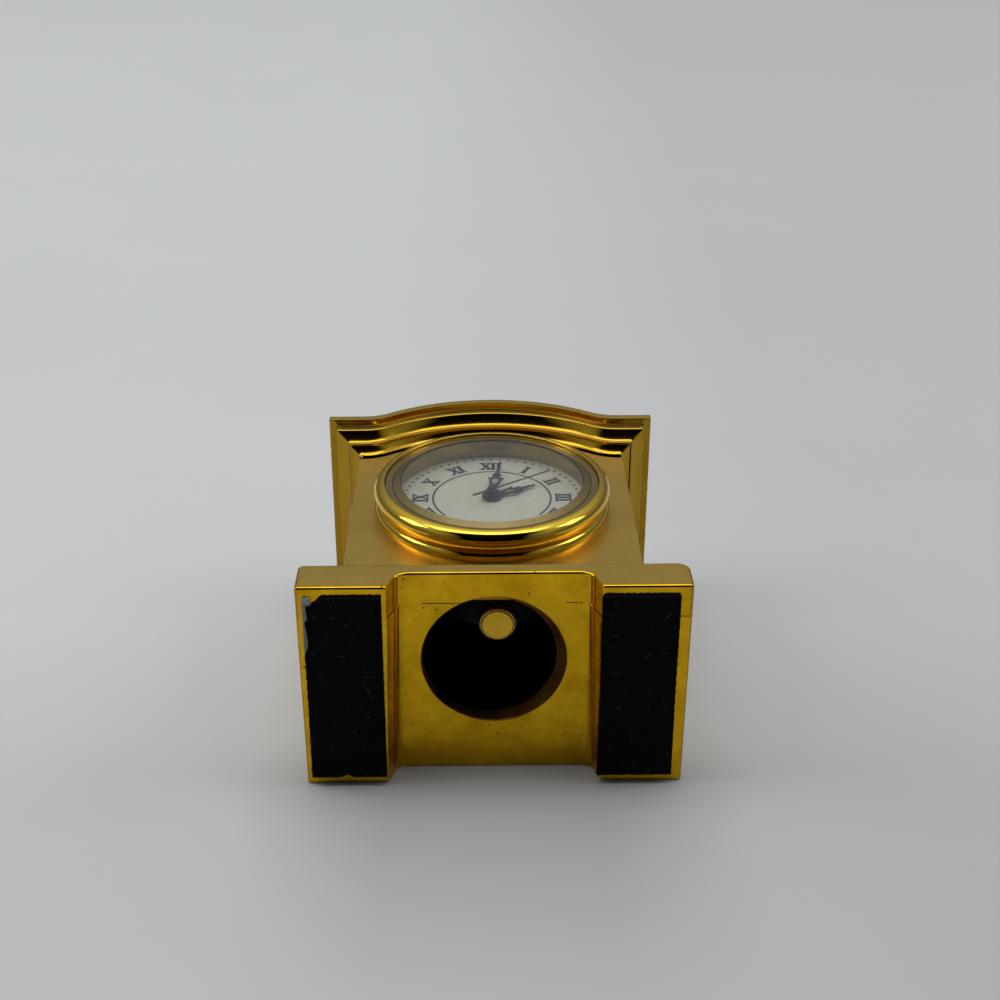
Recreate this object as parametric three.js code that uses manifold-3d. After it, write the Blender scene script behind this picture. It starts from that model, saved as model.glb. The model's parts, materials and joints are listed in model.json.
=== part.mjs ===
import * as THREE from 'three';
import { mergeVertices } from 'three/addons/utils/BufferGeometryUtils.js';
import Module from 'manifold-3d';

// A miniature table clock: a hollow cast case shaped like an arched mantel clock,
// with a round quartz clock insert pressed into the bore of its front wall.
// Millimetres, +Z up, the dial looks along -Y. The origin is under the middle of the whole clock,
// at the height of the surface on which its felt pads rest.

const wasm = await Module();
wasm.setup();

// Driving dimensions: plinth and feet
const plinthStep = 4.35;
const plinthDepth = 25.2;
const plinthHeight = 4.9;
const plinthCornerRadius = 1.4;
const sideDraft = 0.17;
const padThickness = 0.6;
const padWidth = 8.35;
const padLength = 23.1;
const padMargin = 0.75;
const padOffset = 0.6;
const channelWidth = 22.2;
const channelDepth = 2.95;
const channelFlankRun = 0.5;
const channelFilletRadius = 1.5;
const channelDraft = 0.68;
const handHoleDiameter = 16;
const handHoleShift = 1.6;
const handHoleTaper = 0.6;
const handHoleLean = 0.5;

// Body and cornice
const bodyMargin = 4.05;
const faceHeadroom = 4.75;
const faceRecess = 3.2;
const wallThickness = 1.8;
const frontWallThickness = 1.2;
const corniceOverhang = 3.95;
const lipThickness = 1.15;
const lipOverhang = 1;
const slabThickness = 1.3;
const upperCoveRise = 1.25;
const coveFilletRise = 0.4;
const lowerCoveRise = 0.95;
const upperCoveShare = 0.52;
const coveFilletShare = 0.13;
const archInset = 0.45;
const archRise = 5.1;
const archMainShare = 0.8;
const archSteps = 36;
const roofThickness = 1.2;
const plateThickness = 1;
const plateLedge = 0.9;
const plateClearance = 0.15;

// Clock insert
const bezelRise = 5.85;
const bezelWidth = 1.4;
const bezelHeight = 3.5;
const bezelFlangeHeight = 1;
const bezelGroove = 0.35;
const canRadius = 12.6;
const canWall = 0.5;
const canDepth = 8.2;
const lidThickness = 0.7;
const fitGap = 0.05;
const retainerThickness = 0.4;
const bezelLip = 0.1;
const glassThickness = 0.5;
const rehautRim = 1.4;
const rehautLedge = 0.2;
const dialHeight = 0.8;
const dialThickness = 0.4;
const holderWall = 1.25;
const holderLedge = 0.6;

// Movement, measured back from the dial
const plateGap = 1.25;
const mainPlateThickness = 1;
const bridgeGap = 4.5;
const bridgeThickness = 0.8;
const wheelThickness = 0.3;
const wheelPitch = 0.8;
const pinionOverlap = 0.1;
const runningGap = 0.05;
const arborRadius = 0.2;
const secondsArborRadius = 0.16;
const minuteTubeWall = 0.27;
const hourPipeWall = 0.26;
const dialHoleGap = 0.1;

// Wheel train: tooth counts, and the distance of each axis from its neighbour's as a share of
// the movement's radius
const centreTeeth = 45;
const thirdTeeth = 48;
const pinionTeeth = 6;
const secondsTeeth = 30;
const stepTeeth = 36;
const cannonTeeth = 8;
const minuteWheelTeeth = 24;
const minutePinionTeeth = 8;
const hourTeeth = 32;
const thirdDistanceShare = 0.3611;
const thirdAngle = 40;
const minuteWheelDistanceShare = 0.2667;
const minuteWheelAngle = -50;
const stepDistanceShare = 0.3611;
const stepAngle = 150;
const rotorDistanceShare = 0.2593;
const rotorAngle = 130;
const addendumShare = 0.75;
const dedendumShare = 1.05;
const toothTipShare = 0.2;
const toothRootShare = 0.52;

// Motor, battery and circuit: the plan as shares of the movement's radius
const magnetRadiusShare = 0.0694;
const magnetGapShare = 0.0231;
const statorRingShare = 0.0741;
const statorThickness = 0.4;
const coilRadiusShare = 0.0833;
const coilLengthShare = 0.6481;
const coilHeightShare = 0.7037;
const coilShiftShare = -0.0926;
const coreWidthShare = 0.0741;
const coreThickness = 0.4;
const coreTabShare = 0.1481;
const kneeDropShare = 0.7;
const batteryRadiusShare = 0.3148;
const batteryThickness = 2.6;
const batteryStep = 0.35;
const batteryDistanceShare = 0.6759;
const batteryAngle = 215;
const strapWidthShare = 0.1481;
const strapThickness = 0.25;
const pillarRadiusShare = 0.0833;
const pillarDistanceShare = 0.8843;
const pillarAngles = [18, -43, 158];
const screwHeadRadiusShare = 0.0741;
const screwHeadHeight = 0.4;
const screwShankRadius = 0.35;
const screwSlotWidth = 0.25;
const screwSlotDepth = 0.2;
const boardWidthShare = 0.4259;
const boardHeightShare = 0.3704;
const boardThickness = 0.4;
const boardShiftShare = 0.3333;
const boardDropShare = 0.5833;
const chipSizeShare = 0.1481;
const chipThickness = 0.5;
const crystalRadiusShare = 0.0556;
const crystalLengthShare = 0.3519;

// Crown and setting stem
const stemShift = 0.4;
const stemDepth = 5.25;
const stemRadius = 0.45;
const stemReachShare = 0.643;
const stemGap = 0.15;
const grooveRadius = 0.28;
const grooveWidth = 0.5;
const grooveInset = 0.9;
const crownRadius = 2.1;
const crownHeight = 3.2;
const crownLift = 6;
const crownFaceRadius = 1.75;
const crownTeeth = 30;
const crownToothDepth = 0.18;
const crownNeckRadius = 1.1;
const crownNeckHeight = 0.7;
const leverWidth = 3;
const leverDepth = 1.3;
const stemTubeWall = 0.3;
const stemTubeLength = 1.1;

// Hands, set at about one minute past two
const handThickness = 0.15;
const handSpacing = 0.42;
const hourHandLength = 5.7;
const minuteHandLength = 8;
const secondHandLength = 8.5;
const secondTailLength = 2.9;
const handHubRadius = 1.2;
const minuteHubRadius = 0.95;
const secondHubRadius = 0.6;
const handStemWidth = 0.34;
const secondHandWidth = 0.26;
const heartShare = 0.6;
const heartWidthShare = 0.12;
const barbRiseShare = 0.9;
const barbReachShare = 0.8;
const tipRootShare = 0.9;
const pierceShare = 0.5;
const pierceDropShare = 0.15;
const hubDepthShare = 1.5;
const hourHandAngle = 62.5;
const minuteHandAngle = 8;
const secondHandAngle = 55;

const overrun = 1;
const arcSteps = 6;
const roundSteps = 48;
const smallRoundSteps = 14;

// Values that follow from them
const bezelRadius = canRadius + bezelWidth;
const insertHeight = bezelRadius + bezelRise;
const bodyWidth = 2 * (canRadius + bodyMargin);
const bodyHeight = insertHeight + bezelRadius + faceHeadroom - archRise;
const corniceWidth = bodyWidth + 2 * corniceOverhang;
const plinthWidth = bodyWidth + 2 * plinthStep;
const archSpan = bodyWidth - 2 * archInset;
const bezelReach = Math.max(bezelHeight - faceRecess, 0);
const frontY = (bezelReach - plinthDepth) / 2;
const backY = frontY + plinthDepth;
const plinthMidY = (frontY + backY) / 2;
const footZ = padThickness;
const ceilingZ = footZ + channelDepth;
const plinthTopZ = footZ + plinthHeight;
const faceY = frontY + faceRecess;
const innerFaceY = faceY + frontWallThickness;
const bodyTopZ = plinthTopZ + bodyHeight;
const slabBottomZ = bodyTopZ + lowerCoveRise + coveFilletRise + upperCoveRise;
const lipBottomZ = slabBottomZ + slabThickness;
const shoulderZ = lipBottomZ + lipThickness;
const roofZ = slabBottomZ - roofThickness;
const innerHalfWidth = bodyWidth / 2 - wallThickness;
const clockZ = plinthTopZ + insertHeight - fitGap;

const glassFrontY = faceY - bezelHeight + fitGap;
const glassBackY = glassFrontY + glassThickness;
const glassRadius = canRadius - rehautRim;
const dialFrontY = faceY - dialHeight;
const dialBackY = dialFrontY + dialThickness;
const canInnerRadius = canRadius - canWall;
const canBackY = faceY + canDepth;
const holderOuterRadius = canInnerRadius - fitGap;
const holderInnerRadius = canInnerRadius - holderWall;
const boreRadius = canRadius + retainerThickness + 2 * fitGap;
const plateFrontY = dialBackY + plateGap;
const plateBackY = plateFrontY + mainPlateThickness;
const bridgeFrontY = plateBackY + bridgeGap;
const bridgeBackY = bridgeFrontY + bridgeThickness;
const movementRadius = holderInnerRadius - fitGap;
const thirdDistance = movementRadius * thirdDistanceShare;
const minuteWheelDistance = movementRadius * minuteWheelDistanceShare;
const stepDistance = movementRadius * stepDistanceShare;
const rotorDistance = movementRadius * rotorDistanceShare;
const magnetRadius = movementRadius * magnetRadiusShare;
const coilLength = movementRadius * coilLengthShare;
const coilHeight = movementRadius * coilHeightShare;
const coilShift = movementRadius * coilShiftShare;
const coreTab = movementRadius * coreTabShare;
const coreWidth = movementRadius * coreWidthShare;
const coilRadius = movementRadius * coilRadiusShare;
const statorRing = movementRadius * statorRingShare;
const batteryRadius = movementRadius * batteryRadiusShare;
const batteryDistance = movementRadius * batteryDistanceShare;
const strapWidth = movementRadius * strapWidthShare;
const pillarRadius = movementRadius * pillarRadiusShare;
const pillarDistance = movementRadius * pillarDistanceShare;
const screwHeadRadius = movementRadius * screwHeadRadiusShare;
const boardWidth = movementRadius * boardWidthShare;
const boardHeight = movementRadius * boardHeightShare;
const boardShift = movementRadius * boardShiftShare;
const boardDrop = movementRadius * boardDropShare;
const chipSize = movementRadius * chipSizeShare;
const crystalLength = movementRadius * crystalLengthShare;
const crystalRadius = movementRadius * crystalRadiusShare;
const magnetGap = movementRadius * magnetGapShare;
const stemReach = canRadius * stemReachShare;

const secondsHole = secondsArborRadius + runningGap;
const minuteTubeRadius = secondsHole + minuteTubeWall;
const hourPipeInner = minuteTubeRadius + runningGap;
const hourPipeRadius = hourPipeInner + hourPipeWall;
const dialHoleRadius = hourPipeRadius + dialHoleGap;

// Each wheel has its own level, counted from the front face of the main plate or behind it
const centreLevel = plateBackY + wheelThickness;
const thirdLevel = centreLevel + wheelPitch;
const secondsLevel = thirdLevel + wheelPitch;
const stepLevel = secondsLevel + wheelPitch;
const minuteLevel = plateFrontY - 2 * wheelThickness;
const hourLevel = minuteLevel - wheelThickness - pinionOverlap;

const pivotFront = plateBackY - mainPlateThickness / 4;
const pivotBack = bridgeFrontY + bridgeThickness / 4;
const statorFront = thirdLevel + wheelThickness + pinionOverlap;
const statorBack = statorFront + statorThickness;
const coilEnds = [coilShift - coilLength / 2, coilShift + coilLength / 2];
const batteryBackY = bridgeFrontY - strapThickness - runningGap;
const batteryFrontY = batteryBackY - batteryThickness;
const boardBackY = plateBackY + boardThickness;

const hourHandY = dialFrontY - handSpacing;
const minuteHandY = hourHandY - handSpacing;
const secondHandY = minuteHandY - handSpacing;

const stemY = faceY + stemDepth;
const crownFaceZ = footZ + crownLift;
const crownTopZ = crownFaceZ + crownHeight;
const stemTopZ = clockZ - canRadius + stemReach;
const grooveZ = stemTopZ - grooveInset;

const centreModule = 2 * thirdDistance / (centreTeeth + pinionTeeth);
const thirdModule = 2 * thirdDistance / (thirdTeeth + pinionTeeth);
const secondsModule = 2 * stepDistance / (secondsTeeth + pinionTeeth);
const stepModule = 2 * rotorDistance / (stepTeeth + pinionTeeth);
const cannonModule = 2 * minuteWheelDistance / (cannonTeeth + minuteWheelTeeth);
const hourModule = 2 * minuteWheelDistance / (minutePinionTeeth + hourTeeth);

const radians = THREE.MathUtils.degToRad;

// Merge shared corners, drop flat triangles and turn the faces out
function weld(geometry) {
  const bare = geometry.clone();
  bare.deleteAttribute('normal');
  bare.deleteAttribute('uv');
  const merged = mergeVertices(bare);
  const source = merged.index.array;
  const place = merged.attributes.position;
  const kept = [];
  let volume = 0;
  const a = new THREE.Vector3();
  const b = new THREE.Vector3();
  const c = new THREE.Vector3();
  for (let i = 0; i < source.length; i += 3) {
    const [p, q, r] = [source[i], source[i + 1], source[i + 2]];
    if (p === q || q === r || r === p) continue;
    kept.push(p, q, r);
    a.fromBufferAttribute(place, p);
    b.fromBufferAttribute(place, q);
    c.fromBufferAttribute(place, r);
    volume += a.dot(b.cross(c));
  }
  merged.setIndex(volume < 0 ? kept.reverse() : kept);
  return merged;
}

function toSolid(geometry) {
  const welded = weld(geometry);
  return new wasm.Manifold(new wasm.Mesh({
    numProp: 3,
    vertProperties: Float32Array.from(welded.attributes.position.array),
    triVerts: Uint32Array.from(welded.index.array),
  }));
}

function toGeometry(solid) {
  const mesh = solid.getMesh();
  const geometry = new THREE.BufferGeometry();
  const place = Float32Array.from(mesh.vertProperties);
  geometry.setAttribute('position', new THREE.BufferAttribute(place, 3));
  geometry.setIndex(Array.from(mesh.triVerts));
  return geometry;
}

const join = (...pieces) => toGeometry(pieces.map(toSolid).reduce((sum, piece) => sum.add(piece)));

function cut(piece, ...tools) {
  return toGeometry(tools.map(toSolid).reduce((sum, tool) => sum.subtract(tool), toSolid(piece)));
}

// A front-view outline (x to the right, z up) that runs from front to back
function alongY(shape, fromY, toY, steps = 1, curveSegments = arcSteps) {
  const geometry = new THREE.ExtrudeGeometry(shape, {
    depth: toY - fromY, bevelEnabled: false, steps, curveSegments,
  });
  return geometry.rotateX(Math.PI / 2).translate(0, toY, 0);
}

// A plan outline (x to the right, y to the back) that runs upward
function alongZ(shape, fromZ, toZ) {
  const geometry = new THREE.ExtrudeGeometry(shape, {
    depth: toZ - fromZ, bevelEnabled: false, curveSegments: arcSteps,
  });
  return geometry.translate(0, 0, fromZ);
}

// A turned piece about the clock's own axis, from points of radius and y
function turned(points, segments = roundSteps) {
  const profile = points.map(([radius, y]) => new THREE.Vector2(radius, y));
  return new THREE.LatheGeometry(profile, segments).translate(0, 0, clockZ);
}

// A turned piece about the stem, from points of radius and height
function turnedUpright(points, segments = smallRoundSteps) {
  const profile = points.map(([radius, z]) => new THREE.Vector2(radius, z));
  return new THREE.LatheGeometry(profile, segments)
    .rotateX(Math.PI / 2)
    .translate(stemShift, stemY, 0);
}

const discProfile = (radius, fromY, toY) => [[0, fromY], [radius, fromY], [radius, toY], [0, toY]];

const ringProfile = (inner, outer, fromY, toY) => [
  [inner, fromY], [outer, fromY], [outer, toY], [inner, toY], [inner, fromY],
];

function rectangle(width, height, x = 0, z = 0) {
  const shape = new THREE.Shape();
  shape.moveTo(x - width / 2, z - height / 2);
  shape.lineTo(x + width / 2, z - height / 2);
  shape.lineTo(x + width / 2, z + height / 2);
  shape.lineTo(x - width / 2, z + height / 2);
  shape.closePath();
  return shape;
}

// A place on the clock at a distance and an angle from another place
function polar([x, z], distance, degrees) {
  return [x + distance * Math.cos(radians(degrees)), z + distance * Math.sin(radians(degrees))];
}

const centre = [0, 0];
const thirdPlace = polar(centre, thirdDistance, thirdAngle);
const minuteWheelPlace = polar(centre, minuteWheelDistance, minuteWheelAngle);
const stepPlace = polar(centre, stepDistance, stepAngle);
const rotorPlace = polar(stepPlace, rotorDistance, rotorAngle);
const batteryPlace = polar(centre, batteryDistance, batteryAngle);
const pillarPlaces = pillarAngles.map((angle) => polar(centre, pillarDistance, angle));

// A short rod or a disc along Y at a place on the clock
function rod([x, z], radius, fromY, toY, segments = smallRoundSteps) {
  const profile = discProfile(radius, fromY, toY).map(([r, y]) => new THREE.Vector2(r, y));
  return new THREE.LatheGeometry(profile, segments).translate(x, 0, clockZ + z);
}

// Height of the break arch above the shoulders: a main arc that swings over into
// a hollow arc at each end, both meeting on one tangent
function archHeight(x) {
  const halfSpan = archSpan / 2;
  const turn = 2 * Math.atan(archRise / halfSpan);
  const radiusSum = halfSpan / Math.sin(turn);
  const mainRadius = radiusSum * archMainShare;
  const endRadius = radiusSum - mainRadius;
  const across = Math.abs(x);
  if (across >= halfSpan) return 0;
  if (across <= mainRadius * Math.sin(turn)) {
    return archRise - mainRadius + Math.sqrt(mainRadius ** 2 - across ** 2);
  }
  return endRadius - Math.sqrt(endRadius ** 2 - (halfSpan - across) ** 2);
}

// Lift every corner of a piece by the arch's height above it
function arched(geometry) {
  const place = geometry.attributes.position;
  for (let i = 0; i < place.count; i += 1) {
    place.setZ(i, place.getZ(i) + archHeight(place.getX(i)));
  }
  return geometry;
}

// A flat-bottomed outline with an arched top
function archedOutline(halfWidth, bottomZ, topZ) {
  const shape = new THREE.Shape();
  shape.moveTo(-halfWidth, bottomZ);
  shape.lineTo(halfWidth, bottomZ);
  for (let i = 0; i <= archSteps; i += 1) {
    const x = halfWidth - 2 * halfWidth * i / archSteps;
    shape.lineTo(x, topZ + archHeight(x));
  }
  shape.closePath();
  return shape;
}

// Front outline of the plinth: round top corners, two feet and the channel between them
function plinthOutline() {
  const half = plinthWidth / 2;
  const gap = channelWidth / 2;
  const flankTop = gap - channelFlankRun;
  const r = channelFilletRadius;
  const shape = new THREE.Shape();
  shape.moveTo(-half, footZ);
  shape.lineTo(-gap, footZ);
  shape.lineTo(-flankTop, ceilingZ - r);
  shape.quadraticCurveTo(-flankTop, ceilingZ, -flankTop + r, ceilingZ);
  shape.lineTo(flankTop - r, ceilingZ);
  shape.quadraticCurveTo(flankTop, ceilingZ, flankTop, ceilingZ - r);
  shape.lineTo(gap, footZ);
  shape.lineTo(half, footZ);
  shape.lineTo(half, plinthTopZ - plinthCornerRadius);
  shape.quadraticCurveTo(half, plinthTopZ, half - plinthCornerRadius, plinthTopZ);
  shape.lineTo(-half + plinthCornerRadius, plinthTopZ);
  shape.quadraticCurveTo(-half, plinthTopZ, -half, plinthTopZ - plinthCornerRadius);
  shape.closePath();
  return shape;
}

// The casting draws backward, so the feet grow narrower from both sides toward the back
function plinth() {
  const geometry = alongY(plinthOutline(), frontY, backY);
  const place = geometry.attributes.position;
  const flank = (channelWidth + plinthWidth) / 4;
  for (let i = 0; i < place.count; i += 1) {
    const x = place.getX(i);
    const share = (place.getY(i) - frontY) / plinthDepth;
    const draw = Math.abs(x) < flank ? channelDraft : -sideDraft;
    place.setX(i, x + Math.sign(x) * draw * share);
  }
  return geometry;
}

// Moulding under the roof, as overhang and height: two hollow coves with a small
// fillet between them, then the slab and the lip
function mouldingProfile() {
  const slab = corniceOverhang - lipOverhang;
  const filletIn = slab * (1 - upperCoveShare - coveFilletShare);
  const filletOut = slab * (1 - upperCoveShare);
  const filletTop = bodyTopZ + lowerCoveRise + coveFilletRise;
  const points = [];
  const addCove = (fromOut, fromZ, reach, rise) => {
    for (let i = 0; i <= arcSteps; i += 1) {
      const turn = Math.PI / 2 * i / arcSteps;
      points.push([fromOut + reach * (1 - Math.cos(turn)), fromZ + rise * Math.sin(turn)]);
    }
  };
  addCove(0, bodyTopZ, filletIn, lowerCoveRise);
  points.push([filletOut, bodyTopZ + lowerCoveRise]);
  addCove(filletOut, filletTop, slab - filletOut, upperCoveRise);
  points.push([slab, lipBottomZ], [corniceOverhang, lipBottomZ]);
  return points;
}

// The cornice is one moulding on the front and another on the sides, mitred where they meet
function cornice() {
  const profile = mouldingProfile();
  const forward = faceRecess / corniceOverhang;
  const half = bodyWidth / 2;
  const sides = new THREE.Shape();
  sides.moveTo(-half, bodyTopZ - overrun);
  profile.forEach(([out, z]) => sides.lineTo(-half - out, z));
  sides.lineTo(-half - corniceOverhang, shoulderZ + archRise + overrun);
  sides.lineTo(half + corniceOverhang, shoulderZ + archRise + overrun);
  [...profile].reverse().forEach(([out, z]) => sides.lineTo(half + out, z));
  sides.lineTo(half, bodyTopZ - overrun);
  sides.closePath();

  const front = new THREE.Shape();
  front.moveTo(backY, bodyTopZ);
  front.lineTo(backY, shoulderZ);
  front.lineTo(frontY, shoulderZ);
  [...profile].reverse().forEach(([out, z]) => front.lineTo(faceY - out * forward, z));
  front.closePath();
  const length = corniceWidth + 2 * overrun;
  const run = new THREE.ExtrudeGeometry(front, {
    depth: length, bevelEnabled: false, steps: archSteps,
  });
  run.rotateX(Math.PI / 2).rotateZ(Math.PI / 2).translate(-length / 2, 0, 0);
  const across = toSolid(alongY(sides, frontY - overrun, backY));
  return toGeometry(across.intersect(toSolid(arched(run))));
}

function caseCasting() {
  const half = bodyWidth / 2;
  const body = alongY(archedOutline(half, ceilingZ, slabBottomZ), faceY, backY);
  const inside = archedOutline(innerHalfWidth, plinthTopZ, roofZ);
  const hollow = alongY(inside, innerFaceY, backY + overrun);
  const ledge = alongY(
    archedOutline(innerHalfWidth + plateLedge, plinthTopZ - plateLedge, roofZ + plateLedge),
    backY - plateThickness, backY + overrun,
  );
  const bore = rod(centre, boreRadius, faceY - overrun, innerFaceY + overrun, roundSteps);
  return cut(join(plinth(), body, cornice()), join(hollow, handHole()), ledge, bore);
}

// The round opening to the crown tapers and leans a little as it rises through the web
function handHole() {
  const web = plinthTopZ - ceilingZ;
  const slope = handHoleTaper / web;
  const lean = handHoleLean / web;
  const bottomRadius = handHoleDiameter / 2 + overrun * slope;
  const topRadius = handHoleDiameter / 2 - handHoleTaper;
  const hole = new THREE.CylinderGeometry(topRadius, bottomRadius, web + overrun, roundSteps);
  hole.rotateX(Math.PI / 2);
  hole.translate(0, plinthMidY - handHoleShift, plinthTopZ - (web + overrun) / 2);
  const place = hole.attributes.position;
  for (let i = 0; i < place.count; i += 1) {
    const rise = place.getZ(i) - ceilingZ;
    place.setX(i, place.getX(i) - rise * lean);
    place.setY(i, place.getY(i) + rise * lean);
  }
  return hole;
}

function backPlate() {
  const grow = plateLedge - plateClearance;
  const outline = archedOutline(innerHalfWidth + grow, plinthTopZ - grow, roofZ + grow);
  return alongY(outline, backY - plateThickness, backY);
}

function feltPad(side) {
  const outer = plinthWidth / 2 - padMargin - (side > 0 ? padOffset : 0);
  const x = side * (outer - padWidth / 2);
  return new THREE.BoxGeometry(padWidth, padLength, padThickness)
    .translate(x, plinthMidY, padThickness / 2);
}

// Round polished ring over a stepped flange, with a seat for the glass
function bezel() {
  const top = faceY - bezelHeight;
  const flange = bezelRadius - bezelGroove / 2;
  const neck = bezelRadius - bezelGroove;
  const inner = canRadius + fitGap;
  const crest = inner + bezelLip;
  const ringFoot = faceY - bezelFlangeHeight;
  const points = [
    [inner, faceY], [flange, faceY], [flange, faceY - bezelFlangeHeight / 2], [neck, ringFoot],
  ];
  const reach = bezelRadius - crest;
  const swell = (ringFoot - top) / 2;
  points.push([bezelRadius, ringFoot - bezelGroove]);
  for (let i = 0; i <= arcSteps; i += 1) {
    const turn = Math.PI / 2 * i / arcSteps;
    points.push([crest + reach * Math.cos(turn), ringFoot - swell - swell * Math.sin(turn)]);
  }
  points.push([inner, top + fitGap], [inner, faceY]);
  return turned(points);
}

const glass = () => turned(discProfile(glassRadius, glassFrontY, glassBackY));

const clockCan = () => cut(
  turned(ringProfile(canInnerRadius, canRadius, glassBackY, canBackY)),
  stemBore(),
);

const canLid = () => turned(discProfile(canRadius, canBackY, canBackY + lidThickness));

const retainingRing = () => turned(ringProfile(
  canRadius + fitGap, canRadius + fitGap + retainerThickness, faceY, innerFaceY,
));

// Flat satin rim round the glass, with a ledge behind it and a wall down to the dial
const rehaut = () => turned([
  [glassRadius - rehautLedge, dialFrontY],
  [holderOuterRadius, dialFrontY],
  [holderOuterRadius, glassBackY],
  [canRadius, glassBackY],
  [canRadius, glassFrontY],
  [glassRadius + fitGap, glassFrontY],
  [glassRadius + fitGap, glassBackY],
  [glassRadius - rehautLedge, glassBackY],
  [glassRadius - rehautLedge, dialFrontY],
]);

const dial = () => turned(ringProfile(dialHoleRadius, holderOuterRadius, dialFrontY, dialBackY));

// Plastic ring that carries the movement, with a ledge in front of the main plate
const movementRing = () => cut(
  turned([
    [holderInnerRadius - holderLedge, dialBackY],
    [holderOuterRadius, dialBackY],
    [holderOuterRadius, canBackY],
    [holderInnerRadius, canBackY],
    [holderInnerRadius, plateFrontY],
    [holderInnerRadius - holderLedge, plateFrontY],
    [holderInnerRadius - holderLedge, dialBackY],
  ]),
  stemBore(),
);

// Tooth outline about the origin; a tooth stands at the phase, in degrees
function toothed(teeth, module, phase = 0) {
  const pitchRadius = teeth * module / 2;
  const tip = pitchRadius + addendumShare * module;
  const root = pitchRadius - dedendumShare * module;
  const pitch = 2 * Math.PI / teeth;
  const corners = [
    [root, -toothRootShare / 2], [tip, -toothTipShare / 2],
    [tip, toothTipShare / 2], [root, toothRootShare / 2],
  ];
  const shape = new THREE.Shape();
  for (let i = 0; i < teeth; i += 1) {
    corners.forEach(([radius, share], corner) => {
      const turn = radians(phase) + (i + share) * pitch;
      const point = [radius * Math.cos(turn), radius * Math.sin(turn)];
      if (i === 0 && corner === 0) shape.moveTo(...point);
      else shape.lineTo(...point);
    });
  }
  shape.closePath();
  return shape;
}

// Phase of a follower whose gap takes the driver's tooth, along the line of their centres
function meshPhase(driverTeeth, driverPhase, lineAngle, teeth) {
  const driverPitch = 360 / driverTeeth;
  const pitch = 360 / teeth;
  const offset = (lineAngle - driverPhase) / driverPitch;
  return lineAngle + 180 + (offset - Math.floor(offset)) * pitch + pitch / 2;
}

// A toothed disc at a place on the clock
function wheel([x, z], teeth, module, phase, fromY, toY) {
  return alongY(toothed(teeth, module, phase), fromY, toY).translate(x, 0, clockZ + z);
}

const mainPlate = () => cut(
  join(
    turned(discProfile(movementRadius, plateFrontY, plateBackY)),
    rod(minuteWheelPlace, arborRadius, hourLevel, plateFrontY + mainPlateThickness / 2),
    ...pillarPlaces.map((place) => (
      rod(place, pillarRadius, plateBackY - mainPlateThickness / 2, bridgeFrontY)
    )),
  ),
  rod(centre, minuteTubeRadius + runningGap, plateFrontY - overrun, plateBackY + overrun),
  ...[thirdPlace, stepPlace, rotorPlace].map((place) => (
    rod(place, arborRadius + runningGap, plateBackY - mainPlateThickness / 2, plateBackY + overrun)
  )),
  ...pillarPlaces.map((place) => (
    rod(place, screwShankRadius + runningGap, plateBackY, bridgeFrontY + overrun)
  )),
);

const bridge = () => cut(
  turned(discProfile(movementRadius, bridgeFrontY, bridgeBackY)),
  rod(
    batteryPlace, batteryRadius + 2 * runningGap,
    bridgeFrontY - overrun, bridgeBackY + overrun, roundSteps,
  ),
  rod(
    centre, secondsArborRadius + runningGap,
    bridgeFrontY - overrun, bridgeFrontY + bridgeThickness / 2,
  ),
  ...[thirdPlace, stepPlace, rotorPlace].map((place) => (
    rod(place, arborRadius + runningGap, bridgeFrontY - overrun, bridgeFrontY + bridgeThickness / 2)
  )),
  ...pillarPlaces.map((place) => (
    rod(place, screwShankRadius + runningGap, bridgeFrontY - overrun, bridgeBackY + overrun)
  )),
);

function bridgeScrew(place) {
  const head = rod(place, screwHeadRadius, bridgeBackY, bridgeBackY + screwHeadHeight);
  const shank = rod(place, screwShankRadius, plateBackY + overrun, bridgeBackY + screwHeadHeight / 2);
  const slot = new THREE.BoxGeometry(2 * screwHeadRadius + overrun, screwSlotDepth, screwSlotWidth);
  slot.translate(place[0], bridgeBackY + screwHeadHeight - screwSlotDepth / 2, clockZ + place[1]);
  return cut(join(head, shank), slot);
}

// The centre wheel turns with the long tube that carries the cannon pinion and the minute hand
function centreWheel() {
  const level = [centreLevel, centreLevel + wheelThickness];
  const tube = rod(centre, minuteTubeRadius, minuteHandY, level[1]);
  const cannon = wheel(
    centre, cannonTeeth, cannonModule, 0,
    minuteLevel - pinionOverlap, minuteLevel + wheelThickness,
  );
  return cut(
    join(wheel(centre, centreTeeth, centreModule, 0, ...level), tube, cannon),
    rod(centre, secondsHole, minuteHandY - overrun, level[1] + overrun),
  );
}

function thirdWheel() {
  const phase = meshPhase(centreTeeth, 0, thirdAngle, pinionTeeth);
  return join(
    rod(thirdPlace, arborRadius, pivotFront, pivotBack),
    wheel(thirdPlace, pinionTeeth, centreModule, phase, centreLevel - pinionOverlap, thirdLevel),
    wheel(thirdPlace, thirdTeeth, thirdModule, 0, thirdLevel, thirdLevel + wheelThickness),
  );
}

function secondsWheel() {
  const phase = meshPhase(thirdTeeth, 0, thirdAngle + 180, pinionTeeth);
  return join(
    rod(centre, secondsArborRadius, secondHandY, pivotBack),
    wheel(centre, pinionTeeth, thirdModule, phase, thirdLevel - pinionOverlap, secondsLevel),
    wheel(centre, secondsTeeth, secondsModule, 0, secondsLevel, secondsLevel + wheelThickness),
  );
}

function stepWheel() {
  const phase = meshPhase(secondsTeeth, 0, stepAngle, pinionTeeth);
  return join(
    rod(stepPlace, arborRadius, pivotFront, pivotBack),
    wheel(stepPlace, pinionTeeth, secondsModule, phase, secondsLevel - pinionOverlap, stepLevel),
    wheel(stepPlace, stepTeeth, stepModule, 0, stepLevel, stepLevel + wheelThickness),
  );
}

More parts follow.
